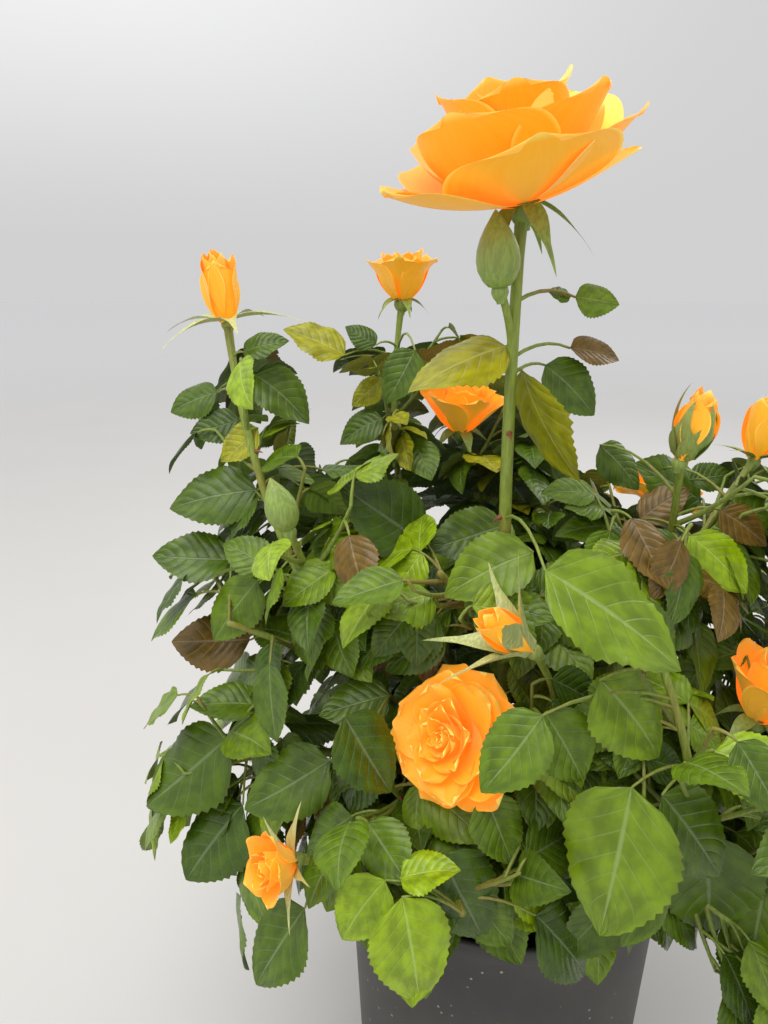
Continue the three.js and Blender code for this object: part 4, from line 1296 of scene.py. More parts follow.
@functools.cache
def petal_pattern():
    """Group: a petal's base, face and thin pale rim, with fine lengthwise veins."""
    inputs = (("Base Colour", "colour"), ("Face Colour", "colour"), ("Rim Colour", "colour"))
    outputs = (("Colour", "colour"), ("Height", "value"))
    tree, nodes, given, result = node_group("petal pattern", inputs, outputs)
    across, along, tile = tile_place(nodes)
    x = nodes.math("ABSOLUTE", across)
    streaks = nodes.noise(nodes.stretched(tile, (46, 5, 1)), 1, 3)
    clouds = nodes.noise(tile, 7, 2)
    warm = nodes.band(nodes.math("ADD", along, nodes.math("MULTIPLY", clouds, 0.2)), 0.16, 0.62)
    body = nodes.blend(warm, given["Base Colour"], given["Face Colour"])
    light = nodes.blend(0.34, given["Face Colour"], given["Rim Colour"])
    tinted = nodes.blend(nodes.math("MULTIPLY", nodes.band(streaks, 0.35, 0.75), 0.3), body, light)
    out = nodes.math("MAXIMUM", nodes.band(along, 0.9, 0.985), nodes.band(x, 0.88, 0.99))
    rim = nodes.math("MULTIPLY", out, nodes.band(along, 0.3, 0.6))
    nodes.feed(result["Colour"], nodes.blend(nodes.math("MULTIPLY", rim, 0.9), tinted, given["Rim Colour"]))
    nodes.feed(result["Height"], streaks)
    return tree


def petal_material(name, face, back, settings):
    """Velvety petal whose back is a little redder than its face, with a painted glow: a little light of its
    own from within.
    """
    material, nodes, shader = new_material(name)
    pattern = nodes.use(
        petal_pattern(), Face_Colour=face, Base_Colour=settings.base, Rim_Colour=settings.rim
    )
    from_behind = nodes.new("ShaderNodeNewGeometry").outputs["Backfacing"]
    rear = nodes.blend(0.6, pattern["Colour"], back)
    shown = nodes.blend(from_behind, pattern["Colour"], rear)
    nodes.feed(shader["Base Color"], shown)
    # Painted glow: the petal gives off its own colour as a faint light, though it is no lamp
    nodes.feed(shader["Emission Color"], shown)
    shader["Emission Strength"].default_value = settings.glow
    shader["Roughness"].default_value = 0.5
    shader["Sheen Weight"].default_value = 0.15
    nodes.feed(shader["Normal"], nodes.bump(pattern["Height"], 0.22, 0.0012))
    return material


@functools.cache
def green_pattern():
    """Group: green skin with a flush of red in patches and fine lengthwise streaks."""
    inputs = (("Green", "colour"), ("Flush", "colour"), ("Flush Share", "value"))
    outputs = (("Colour", "colour"), ("Roughness", "value"), ("Height", "value"))
    tree, nodes, given, result = node_group("green skin", inputs, outputs)
    place = nodes.object_place()
    streaks = nodes.noise(nodes.stretched(place, (700, 700, 90)), 1, 3)
    patches = nodes.noise(place, 22, 4)
    dark = nodes.blend(0.35, given["Green"], (0.02, 0.03, 0.01))
    skin = nodes.blend(nodes.band(streaks, 0.3, 0.7), dark, given["Green"])
    flush = nodes.math("MULTIPLY", nodes.band(patches, 0.45, 0.68), given["Flush Share"])
    nodes.feed(result["Colour"], nodes.blend(flush, skin, given["Flush"]))
    nodes.feed(result["Roughness"], nodes.math("MULTIPLY_ADD", streaks, 0.2, 0.34))
    nodes.feed(result["Height"], streaks)
    return tree


@functools.cache
def green_material(name):
    """Skin of young canes, thorns, stems, stalks, hips and sepals."""
    green, flush, share = GREEN_SKINS[name]
    material, nodes, shader = new_material(name)
    pattern = nodes.use(green_pattern(), Green=green, Flush=flush, Flush_Share=share)
    nodes.feed(shader["Base Color"], pattern["Colour"])
    nodes.feed(shader["Roughness"], pattern["Roughness"])
    nodes.feed(shader["Normal"], nodes.bump(pattern["Height"], 0.3, 0.0006))
    return material


@functools.cache
def bark_material():
    """Grey-brown bark with lengthwise cracks, scales and pale patches of lichen."""
    material, nodes, shader = new_material("rose_bark")
    place = nodes.object_place()
    ridges = nodes.noise(nodes.stretched(place, (260, 260, 60)), 1, 5, 0.65)
    scales = nodes.cells(nodes.stretched(place, (1, 1, 0.35)), 230)
    crack = nodes.band(ridges, 0.36, 0.56)
    ground = nodes.blend(crack, colour(48, 38, 28), colour(128, 108, 84))
    lichen = nodes.math("MULTIPLY", nodes.band(nodes.noise(place, 90, 4), 0.58, 0.7), 0.6)
    nodes.feed(shader["Base Color"], nodes.blend(lichen, ground, colour(150, 148, 118)))
    shader["Roughness"].default_value = 0.85
    height = nodes.math("ADD", ridges, nodes.math("MULTIPLY", scales, 0.4))
    nodes.feed(shader["Normal"], nodes.bump(height, 0.8, 0.002))
    return material


def pot_material(settings):
    """Matt dark moulded plastic, with a fine grain, pale specks and a thin film of dust in patches."""
    material, nodes, shader = new_material("dark_moulded_plastic")
    place = nodes.object_place()
    grain = nodes.noise(place, 900, 2)
    clouds = nodes.noise(place, 14, 4)
    ground = nodes.blend(nodes.band(clouds, 0.35, 0.65), settings.shade, settings.plastic)
    specks = nodes.band(nodes.cells(place, 150), 0.1, 0.16, 1, 0)
    thin = nodes.band(nodes.noise(place, 40, 3), 0.5, 0.62)
    speckled = nodes.math("MULTIPLY", specks, thin)
    dusty = nodes.blend(nodes.math("MULTIPLY", speckled, 0.75), ground, settings.specks)
    film = nodes.math("MULTIPLY", nodes.band(nodes.noise(place, 6, 5), 0.45, 0.75), 0.28)
    nodes.feed(shader["Base Color"], nodes.blend(film, dusty, colour(120, 112, 100)))
    nodes.feed(shader["Roughness"], nodes.math("MULTIPLY_ADD", clouds, 0.2, 0.42))
    nodes.feed(shader["Normal"], nodes.bump(nodes.math("ADD", grain, speckled), 0.25, 0.0004))
    return material


@functools.cache
def earth_material(name, dark, light):
    """Damp fibrous compost or a chip of bark."""
    material, nodes, shader = new_material(name)
    place = nodes.object_place()
    lumps = nodes.noise(place, 160, 5, 0.7)
    fibres = nodes.noise(nodes.stretched(place, (1, 3, 1)), 420, 3)
    nodes.feed(shader["Base Color"], nodes.blend(nodes.band(lumps, 0.35, 0.7), dark, light))
    shader["Roughness"].default_value = 0.92
    nodes.feed(shader["Normal"], nodes.bump(nodes.math("ADD", lumps, fibres), 0.9, 0.003))
    return material


@functools.cache
def floor_material():
    """Pale studio floor with the faintest unevenness, lighter far off, where it meets the backdrop."""
    material, nodes, shader = new_material("pale_floor")
    place = nodes.object_place()
    near = nodes.blend(nodes.noise(place, 3, 3), colour(208, 206, 203), colour(216, 214, 211))
    away = nodes.new("ShaderNodeVectorMath", operation="LENGTH")
    nodes.feed(away.inputs[0], place)
    far = nodes.band(away.outputs["Value"], 0.6, 6.0)
    nodes.feed(shader["Base Color"], nodes.blend(far, near, colour(228, 228, 229)))
    shader["Roughness"].default_value = 0.9
    return material


# The open bloom's outer petals that face the pale side by this much get painted backlight, a paler finish
# that stands for the light behind them
PALE_SIDE = (0.86, 0.5, 0.0)
PALE_FACING = 0.7

# The thin warm edge of a leaflet
LEAF_EDGE = colour(132, 92, 40)

# Green skins: their green, the flush of red on it, and how strong that is
GREEN_SKINS = {
    "cane_skin": (colour(134, 150, 60), colour(132, 96, 50), 0.4),
    "thorn_horn": (colour(150, 84, 50), colour(104, 44, 34), 0.9),
    "stem_skin": (colour(146, 166, 62), colour(156, 104, 54), 0.35),
    "twig_skin": (colour(132, 152, 60), colour(144, 88, 48), 0.45),
    "leaf_stalk_skin": (colour(140, 160, 62), colour(150, 84, 50), 0.4),
    "calyx_skin": (colour(150, 176, 84), colour(180, 150, 90), 0.3),
    "pale_calyx_skin": (colour(206, 216, 140), colour(214, 196, 140), 0.4),
}

# Tints of the leaves, each with its gloss
LEAF_TINTS = {
    "dark": (colour(74, 102, 14), 0.85),
    "deep": (colour(86, 114, 16), 0.9),
    "mid": (colour(104, 134, 18), 1.0),
    "fresh": (colour(124, 154, 20), 1.0),
    "light": (colour(140, 168, 24), 1.0),
    "young": (colour(158, 190, 16), 0.9),
    "olive": (colour(172, 172, 26), 1.0),
    "bronze": (colour(126, 98, 36), 0.9),
}


# Leaves

# Leaves in one piece, the grid of a leaflet, and how far its teeth and notches reach at the rim
PIECE_LEAVES = 180
LEAFLET_ROWS = 29
LEAFLET_COLUMNS = 7
TOOTH_NOTCH = 0.965
TOOTH_TIP = 1.03


def leaflet_outline(along):
    """Half the width of a leaflet, as a share of its widest, from its foot to its tip."""
    return 2.66 * along ** 0.56 * (1 - along) ** 0.92


def leaflet_meshes(leaves, rng, fold, curl):
    """The curved and toothed faces of all leaflets of some leaves, with their places on the tile."""
    base = np.concatenate([leaf.base for leaf in leaves])
    ahead = np.concatenate([leaf.along for leaf in leaves])
    face = np.concatenate([leaf.normal for leaf in leaves])
    right = np.concatenate([leaf.right_way for leaf in leaves])
    size = np.concatenate([leaf.size for leaf in leaves])
    number = len(size)

    def spread(low, high):
        return rng.uniform(low, high, (number, 1, 1))

    rows = np.linspace(0, 1, LEAFLET_ROWS)[None, :, None]
    columns = np.linspace(-1, 1, LEAFLET_COLUMNS)[None, None]
    side = np.abs(columns)
    tooth = np.where(np.arange(LEAFLET_ROWS) % 2 == 1, TOOTH_TIP, TOOTH_NOTCH)[None, :, None]
    width = leaflet_outline(rows) * (LEAFLET_WIDTH / 2) * spread(0.9, 1.06)
    across = columns * width * np.where(side == 1, tooth, 1)
    step = 1 / (LEAFLET_ROWS - 1)
    forward = np.where(side == 1, (tooth > 1) * step * 0.55, 0) * (1 - rows)
    along = rows + forward + 0 * across
    half = np.abs(across)
    height = half * fold * spread(0.2, 1.3)
    height = height - LEAFLET_SAG * rows ** 2 * spread(0.6, 2.2)
    height = height + across * spread(-0.4, 0.4) * (rows - 0.3)
    height = height - (half / (LEAFLET_WIDTH / 2)) ** 3 * curl * spread(0.2, 1.4)
    wave = np.sin(2 * math.pi * (rows * spread(1.6, 3.2) + spread(0, 1)) + columns * 1.3)
    height = height + wave * side ** 2 * 0.018 * spread(0.3, 1.5) * np.sin(math.pi * rows)
    sway = np.sin(math.pi * rows) * spread(-0.03, 0.03)
    scale = size[:, None, None, None]
    grids = base[:, None, None] + scale * (
        ahead[:, None, None] * along[..., None]
        + right[:, None, None] * (across + sway)[..., None]
        + face[:, None, None] * height[..., None]
    )
    quarter = rng.integers(0, 2, (number, 1, 1, 2))
    spot = np.stack(np.broadcast_arrays((columns + 1) / 2, rows), axis=-1)
    return grids, on_quarter(quarter, spot)


def on_quarter(quarter, spot):
    """Spots from 0 to 1, moved to a quarter of the finish's tile with a little room at its edges."""
    return (quarter + 0.02 + 0.96 * spot) / 2


def tint_of(leaf, row, rng):
    """The tint of one leaf: dark inside and low down, brighter and warmer towards the shoots' ends."""
    middle = leaf.rib[0]
    height = (middle[2] - 240) / 300
    reach = math.hypot(middle[0], middle[1]) / 200
    outer = min(1.0, max(0.0, 0.5 * height + 0.5 * reach))
    flowering = "blossom" in row and height > 0.6
    weights = {
        "dark": 1.5 - outer,
        "deep": 1.5 - 0.6 * outer,
        "mid": 1.5,
        "fresh": 0.4 + outer,
        "light": 0.2 + 0.5 * outer,
        "young": 0.1 + 0.3 * outer,
        "olive": 0.5 if flowering else 0.08,
        "bronze": 0.4 if flowering else 0.06,
    }
    names = list(weights)
    shares = np.array([weights[name] for name in names])
    return str(rng.choice(names, p=shares / shares.sum()))


def leaf_stalk_rings(leaves):
    """The thin stalks that carry the leaflets."""
    steps = np.linspace(0, 1, 6)[None, :, None]
    foot, middle, end = (np.array([leaf.stalk[k] for leaf in leaves])[:, None] for k in range(3))
    control = 2 * middle - (foot + end) / 2
    paths = foot * (1 - steps) ** 2 + control * 2 * steps * (1 - steps) + end * steps ** 2
    radii = np.broadcast_to(np.linspace(1.05, 0.6, 6), paths.shape[:2])
    return rings_along(*round_end(paths, radii), 6)


# Blossoms


class FlowerFrame:
    """The axis and sides of a flower about its seat."""

    def __init__(self, seat, lean):
        self.seat = seat
        self.axis = unit(vector(lean))
        self.side = perpendicular(self.axis)
        self.across = cross(self.axis, self.side)

    def arm(self, turn):
        return self.side * math.cos(turn) + self.across * math.sin(turn)

    def turn_to(self, direction):
        return math.atan2(self.across @ vector(direction), self.side @ vector(direction))

    def sheet(self, turn, out, high, lean, sideways, lift, back=0.0, scale=1.0):
        """The corners of a petal or sepal at a turn about the axis.

        Each row has its place out from the axis and up along it, and its lean. Each corner lies sideways of
        its row's middle, lifted off the sheet's own slope and drawn back along it.
        """
        arm = self.arm(turn)
        cos = np.cos(lean)[:, None]
        sin = np.sin(lean)[:, None]
        reach = out[:, None] - cos * lift - sin * back
        rise = high[:, None] + sin * lift - cos * back
        return (
            self.seat
            + scale * reach[..., None] * arm
            + scale * rise[..., None] * self.axis
            + scale * sideways[..., None] * cross(self.axis, arm)
        )


class Petal:
    """One petal's make, in shares of the flower's width."""

    def __init__(self, ring, high, length, width, foot_lean, rim_lean, wrap, roll=0.0, point=0.0, ruffle=0.0):
        self.ring = ring
        self.high = high
        self.length = length
        self.width = width
        self.foot_lean = math.radians(foot_lean)
        self.rim_lean = math.radians(rim_lean)
        self.wrap = wrap
        self.roll = roll
        self.point = point
        self.ruffle = ruffle


PETAL_ROWS = 17
PETAL_COLUMNS = 15


def petal_outline(along):
    """Half the width of a petal as a share of its widest: a narrow claw, then a broad round blade."""
    rise = np.clip(along / 0.55, 0, 1)
    claw = 0.28 + 0.72 * np.sin(rise * math.pi / 2) ** 1.2
    fall = np.clip((along - 0.52) / 0.48, 0, 1)
    return claw * np.sqrt(1 - 0.96 * fall ** 2.2)


def petal_grid(frame, width, petal, turn, rng):
    """The corners of one petal."""
    rows = 1 - (1 - np.linspace(0, 1, PETAL_ROWS)) ** 1.6
    columns = np.linspace(-1, 1, PETAL_COLUMNS)
    bent = petal.rim_lean - petal.foot_lean + rng.normal(0, 0.1)
    lean = petal.foot_lean + rng.normal(0, 0.06) + bent * rows ** 1.3
    steps = petal.length * rng.uniform(0.92, 1.06) * np.diff(rows)
    out = petal.ring + running(np.sin(lean[1:]) * steps)
    high = petal.high + running(np.cos(lean[1:]) * steps)
    half = petal_outline(rows) * petal.width / 2
    x = columns[None] * half[:, None]
    bend = petal.wrap * petal.width
    sideways = bend * np.sin(x / bend)
    inward = bend * (1 - np.cos(x / bend)) * (1 - 0.8 * np.sin(lean) ** 2)[:, None]
    v = rows[:, None]
    u = columns[None]
    phase = rng.uniform(0, 6.28)
    ruffle = petal.ruffle * v ** 2 * np.sin(u * rng.uniform(3, 5) + phase)
    roll = petal.roll * rng.uniform(0.2, 1.4) * v ** 4
    lift = inward + ruffle - roll
    shorter = 0.09 * u ** 2 * v ** 6 - petal.point * (1 - np.abs(u)) * v ** 6
    back = shorter * petal.length
    return frame.sheet(turn, out, high, lean, sideways, lift, back, width)


# Where the first of an open bloom's two side petals points
OPEN_SIDE = (-1.0, 0.0, 0.0)

# Petal layers of each kind of blossom, from the outside in: how many, how far each row is turned on
# from the last, whether its petals take the inner finish, and the make of a petal
BLOSSOM_LAYERS = {
    "open": (
        (2, 0, 0, Petal(0.04, 0.0, 0.5, 0.62, 80, 60, 0.8, 0.05, 0.0, 0.012)),
        (5, 90, 0, Petal(0.04, 0.01, 0.56, 0.72, 80, 36, 0.7, 0.06, 0.0, 0.006)),
        (4, 50, 0, Petal(0.04, 0.03, 0.52, 0.68, 62, 24, 0.56, 0.05, 0.0, 0.005)),
        (4, 40, 0, Petal(0.03, 0.04, 0.47, 0.58, 40, 16, 0.46, 0.04, 0.0, 0.004)),
        (4, 10, 1, Petal(0.03, 0.05, 0.43, 0.48, 26, 10, 0.4, 0.03, 0.0, 0.004)),
        (3, 50, 1, Petal(0.02, 0.06, 0.39, 0.38, 10, 3, 0.34, 0.02, 0.0, 0.0)),
    ),
    "rosette": (
        (6, 10, 0, Petal(0.04, 0.02, 0.48, 0.5, 56, 96, 0.8, 0.05, 0.0, 0.02)),
        (6, 35, 0, Petal(0.04, 0.05, 0.45, 0.48, 44, 76, 0.62, 0.05, 0.0, 0.02)),
        (6, 8, 0, Petal(0.04, 0.06, 0.41, 0.42, 34, 58, 0.5, 0.04, 0.0, 0.02)),
        (6, 30, 0, Petal(0.03, 0.07, 0.36, 0.36, 24, 42, 0.42, 0.04, 0.0, 0.015)),
        (5, 12, 1, Petal(0.03, 0.08, 0.31, 0.28, 14, 28, 0.34, 0.03, 0.0, 0.015)),
        (5, 40, 1, Petal(0.02, 0.09, 0.27, 0.22, 6, 14, 0.28, 0.02, 0.0, 0.01)),
        (3, 20, 1, Petal(0.01, 0.1, 0.23, 0.16, 0, 4, 0.24, 0.0, 0.0, 0.01)),
    ),
    "cup": (
        (5, 10, 0, Petal(0.06, 0.0, 0.92, 0.9, 46, 18, 0.5, 0.12, 0.0, 0.02)),
        (5, 45, 0, Petal(0.06, 0.05, 0.84, 0.74, 30, 10, 0.44, 0.06, 0.0, 0.01)),
        (4, 15, 1, Petal(0.05, 0.08, 0.76, 0.54, 12, 6, 0.36, 0.02, 0.0, 0.01)),
        (3, 40, 1, Petal(0.04, 0.1, 0.66, 0.4, 4, 2, 0.32, 0.02, 0.0, 0.0)),
    ),
    "bud": (
        (3, 10, 0, Petal(0.1, 0.0, 1.4, 1.15, 22, -10, 0.42, 0.06, 0.03, 0.01)),
        (3, 60, 0, Petal(0.08, 0.04, 1.46, 0.95, 16, -14, 0.36, 0.03, 0.03, 0.01)),
        (3, 20, 1, Petal(0.06, 0.06, 1.4, 0.7, 10, -10, 0.32, 0.01, 0.03, 0.0)),
    ),
    "green": (
        (2, 10, 0, Petal(0.02, 0.3, 1.16, 0.4, 6, -8, 0.3, 0.0, 0.0, 0.0)),
    ),
}

# Sepals: length in shares of the width, and the leans of their foot and tip in degrees from the axis, for
# each kind of blossom and then for the buds that hold theirs in their own way
SEPALS = {
    "open": (0.34, 120, 172),
    "rosette": (0.36, 112, 165),
    "cup": (0.55, 100, 150),
    "bud": (1.05, 34, 84),
}
SEPAL_POSES = {
    "shoot_left_bud": (1.9, 76, 118),
    "shoot_front_left_bud": (1.1, 64, 92),
    "shoot_front_blooms_bud": (2.4, 30, 60),
    "shoot_right_bud": (1.45, 50, -26),
    "shoot_right_edge_bud": (1.2, 60, 96),
}

# Half widths of the sepals that are broader than their hip asks for, and the buds whose sepals are pale
BROAD_SEPALS = {
    "shoot_front_blooms_bud": 6.4,
    "shoot_right_bud": 8.5,
    "shoot_front_left_bud": 4.2,
    "shoot_left_bud": 5.0,
}
PALE_SEPALS = ("shoot_left_bud", "shoot_front_left_bud", "shoot_front_blooms_bud")
SEPAL_COUNT = 5
SEPAL_ROWS = 14
SEPAL_COLUMNS = 5

# A closed bud, wrapped in its sepals: rows of radius and height in shares of its width
GREEN_BUD = (
    (0.08, 0.0), (0.24, 0.04), (0.36, 0.18), (0.45, 0.38), (0.47, 0.58), (0.44, 0.8), (0.36, 1.02),
    (0.25, 1.22), (0.14, 1.38), (0.06, 1.5), (0.01, 1.56),
)


def sepal_grid(frame, hip, length, foot_lean, tip_lean, turn, width):
    """One pointed sepal that springs from the hip's brim."""
    rows = np.linspace(0, 1, SEPAL_ROWS)
    columns = np.linspace(-1, 1, SEPAL_COLUMNS)
    lean = np.radians(foot_lean + (tip_lean - foot_lean) * rows)
    step = length / (SEPAL_ROWS - 1)
    out = hip * 0.72 + running(np.sin(lean[1:]) * step)
    high = hip * 0.2 + running(np.cos(lean[1:]) * step)
    half = width * (1 - rows) ** 0.8 * (0.75 + 0.6 * np.sin(math.pi * np.clip(rows * 1.6, 0, 1)))
    x = columns[None] * half[:, None]
    lift = x ** 2 / (2 * width) * 0.8
    return frame.sheet(turn, out, high, lean, x, lift)


def lathe(frame, profile, sides):
    """Rings about a flower's axis from rows of radius and height."""
    turns = ring_turns(sides)
    arms = np.array([frame.arm(turn) for turn in turns])
    rows = [frame.seat + arms * radius + frame.axis * high for radius, high in profile]
    return np.array(rows)[None]


def blossoms():
    """Every blossom as its shoot's name, kind, width, lean and seat."""
    for shoot, row in zip(plant().shoots, SHOOTS):
        if "blossom" in row:
            yield (row["name"], *row["blossom"], shoot.curve.at(1))
        for bud in row.get("buds", []):
            yield (row["name"] + "_bud", *bud["blossom"], vector(bud["tip"]))


def petal_places(rng):
    """Places on the tile for one petal's corners, on a random quarter."""
    u = (np.linspace(-1, 1, PETAL_COLUMNS)[None] + 1) / 2
    v = 1 - (1 - np.linspace(0, 1, PETAL_ROWS)[:, None]) ** 1.6
    spot = np.stack(np.broadcast_arrays(u, v), axis=-1)
    return on_quarter(rng.integers(0, 2, (1, 1, 1, 2)), spot[None])


def build_petals(build, kind, width, frame, rng):
    """Adds the petals of a blossom, layer by layer."""
    turn = frame.turn_to(OPEN_SIDE) if kind == "open" else rng.uniform(0, 6.28)
    for count, ahead, finish, petal in BLOSSOM_LAYERS[kind]:
        turn += math.radians(ahead)
        for number in range(count):
            here = turn + 2 * math.pi * number / count + rng.uniform(-0.12, 0.12)
            grid = petal_grid(frame, width * rng.uniform(0.94, 1.03), petal, here, rng)
            # Painted backlight: the open bloom's outer petals that face the pale side take the paler finish
            facing = float(frame.arm(here) @ vector(PALE_SIDE)) > PALE_FACING
            painted_backlight = kind == "open" and finish == 0 and facing
            build.add_grids(grid[None], petal_places(rng), finish=2 if painted_backlight else finish)


def build_calyx(build, name, kind, width, frame, rng):
    """Adds a hip with its sepals, or a closed green bud."""
    hip = max(4.0, min(6.5, width * 0.14))
    profile = (
        (1.7, -hip * 1.7), (2.0, -hip * 1.4), (hip * 0.8, -hip * 1.0), (hip, -hip * 0.5),
        (hip * 0.94, 0), (hip * 0.7, hip * 0.3), (hip * 0.1, hip * 0.4),
    )
    build.add_grids(lathe(frame, profile, 14), around=True)
    if kind == "green":
        body = [(radius * width, high * width) for radius, high in GREEN_BUD]
        build.add_grids(lathe(frame, body, 20), around=True)
        return
    length, foot_lean, tip_lean = SEPAL_POSES.get(name, SEPALS[kind])
    finish = int(name in PALE_SEPALS)
    length = max(15, length * width)
    broad = BROAD_SEPALS.get(name, hip * 0.66)
    for number in range(SEPAL_COUNT):
        turn = 2 * math.pi * number / SEPAL_COUNT + rng.uniform(-0.1, 0.1)
        grid = sepal_grid(
            frame, hip, length * rng.uniform(0.85, 1.1), foot_lean + rng.uniform(-8, 8),
            tip_lean + rng.uniform(-14, 14), turn, broad,
        )
        build.add_grids(grid[None], finish=finish)


# Pieces


def pot_profile(wall):
    """Half the section of the pot, from the middle of the floor, round the wall and back inside."""
    foot = POT_FOOT_RADIUS
    mouth = POT_MOUTH_RADIUS
    lip = mouth + LIP_OUT
    under = POT_HEIGHT - LIP_HEIGHT
    slope = (mouth - foot) / POT_HEIGHT
    rows = [(0.5, 0), (foot * 0.5, 0), (foot - 3, 0), (foot - 0.8, 0.8), (foot + slope * 3, 3)]
    for height in (30, 60, 90, 120, 150, 180, 205, under - 1.5):
        rows.append((foot + slope * height, height))
    rows += [
        (foot + slope * under + 0.4, under), (lip - 0.5, under + 0.4), (lip, under + 1.4),
        (lip, POT_HEIGHT - 1.6), (lip - 0.6, POT_HEIGHT - 0.4), (lip - 1.6, POT_HEIGHT),
        (mouth - 0.4, POT_HEIGHT), (mouth - wall, POT_HEIGHT - 0.8),
    ]
    for height in (200, 150, 100, 50, POT_FLOOR + 2):
        rows.append((foot + slope * height - wall, height))
    rows += [(foot - wall - 2, POT_FLOOR), (foot * 0.5, POT_FLOOR), (0.5, POT_FLOOR)]
    return rows


POT_SIDES = 128


def make_pot(settings):
    """The pot, turned from its profile, with its drain holes cut."""
    build = Build()
    frame = FlowerFrame(vector((0, 0, 0)), (0, 0, 1))
    rows = pot_profile(millimetres(settings.wall))
    build.add_grids(lathe(frame, rows + rows[:1], POT_SIDES), around=True)
    pot = build.piece("nursery_pot", [pot_material(settings)])
    drill_pot(pot, settings.holes, millimetres(settings.hole_radius))
    settle(pot, ["pot"])


def drill_pot(pot, holes, radius):
    """Cuts the drain holes in the floor."""
    drills = Build()
    for number in range(holes):
        turn = 2 * math.pi * number / holes
        foot = vector((math.cos(turn) * DRAIN_RING, math.sin(turn) * DRAIN_RING, 0))
        frame = FlowerFrame(foot, (0, 0, 1))
        low = -DRILL_PAST
        top = POT_FLOOR + DRILL_PAST
        profile = ((0.2, low), (radius, low), (radius, top), (0.2, top), (0.2, low))
        drills.add_grids(lathe(frame, profile, 24), around=True)
    drill = drills.piece("drill", [])
    cut = pot.modifiers.new("drain holes", "BOOLEAN")
    cut.object = drill
    cut.solver = "EXACT"
    graph = bpy.context.evaluated_depsgraph_get()
    mesh = bpy.data.meshes.new_from_object(pot.evaluated_get(graph))
    pot.modifiers.clear()
    pot.data = mesh
    bpy.data.objects.remove(drill)


COMPOST_SIDES = 96
COMPOST_RINGS = 40
COMPOST_SEED = 41
CHIP_CORNERS = np.array([(x, y, z) for x in (-1, 1) for y in (-1, 1) for z in (-1, 1)], dtype=float)
CHIP_QUADS = np.array([(0, 1, 3, 2), (4, 6, 7, 5), (0, 4, 5, 1), (2, 3, 7, 6), (0, 2, 6, 4), (1, 5, 7, 3)])


def soil_height(x, y):
    """The uneven top of the compost."""
    ripple = np.sin(x * 0.11 + 1.3) * np.cos(y * 0.13) + 0.6 * np.sin(x * 0.31) * np.sin(y * 0.27 + 0.5)
    return SOIL_TOP - 1.6 + ripple * 0.9


def make_compost(settings):
    """The compost with its uneven top, and the bark chips on it."""
    rng = np.random.default_rng(COMPOST_SEED)
    build = Build()
    wall = millimetres(settings.wall)
    edge = POT_FOOT_RADIUS + (POT_MOUTH_RADIUS - POT_FOOT_RADIUS) * SOIL_TOP / POT_HEIGHT - wall - 0.6
    turns = ring_turns(COMPOST_SIDES)
    reach = np.linspace(edge, 0.5, COMPOST_RINGS)
    x = reach[:, None] * np.cos(turns)
    y = reach[:, None] * np.sin(turns)
    top = np.stack([x, y, soil_height(x, y) + rng.uniform(-0.5, 0.5, x.shape)], axis=-1)
    foot = POT_FOOT_RADIUS - wall - 3
    floor = POT_FLOOR + 0.5
    low = np.stack([foot * np.cos(turns), foot * np.sin(turns), np.full(COMPOST_SIDES, floor)], axis=-1)
    middle = np.broadcast_to(vector((0, 0, floor)), (1, COMPOST_SIDES, 3))
    closed = np.concatenate([middle, low[None], top])
    build.add_grids(closed[None], around=True)
    finish = earth_material("compost", colour(28, 20, 14), colour(74, 56, 40))
    settle(build.piece("compost_mass", [finish]), ["compost"])
    chips = Build()
    for _ in range(settings.chips):
        add_chip(chips, rng, edge)
    finish = earth_material("bark_chip", colour(70, 46, 30), colour(134, 98, 66))
    settle(chips.piece("compost_bark_chips", [finish]), ["compost"])


def add_chip(build, rng, edge):
    """One flat chip, lying on the compost."""
    reach = (edge - 10) * math.sqrt(rng.uniform(0.08, 1))
    turn = rng.uniform(0, 2 * math.pi)
    x = reach * math.cos(turn)
    y = reach * math.sin(turn)
    half = np.array((rng.uniform(2, 6.5), rng.uniform(1.2, 3.4), rng.uniform(0.5, 1.3)))
    corners = CHIP_CORNERS * half * rng.uniform(0.7, 1.1, (8, 3))
    heading = rng.uniform(0, math.pi)
    tilt = rng.uniform(-0.3, 0.3)
    ahead = vector((math.cos(heading) * math.cos(tilt), math.sin(heading) * math.cos(tilt), math.sin(tilt)))
    across = unit(cross(UP, ahead))
    lift = cross(ahead, across)
    centre = vector((x, y, float(soil_height(x, y)) + 0.8))
    points = centre + corners @ np.array([ahead, across, lift])
    build.add(points, CHIP_QUADS)


def relief(turns, heights, rough):
    """Ridges and hollows of bark over turns and heights."""
    ridges = np.sin(turns * 9 + np.sin(heights * 0.35) * 1.6) * 0.5
    knots = np.sin(turns * 4 + heights * 0.22) * np.sin(heights * 0.5 + turns * 2)
    fine = np.sin(turns * 23 + heights * 0.9) * np.cos(heights * 1.7 - turns * 5) * 0.35
    return (ridges + knots + fine) * rough


TRUNK_RINGS = 72
TRUNK_SIDES = 64
TRUNK_ROUGHNESS = 0.55


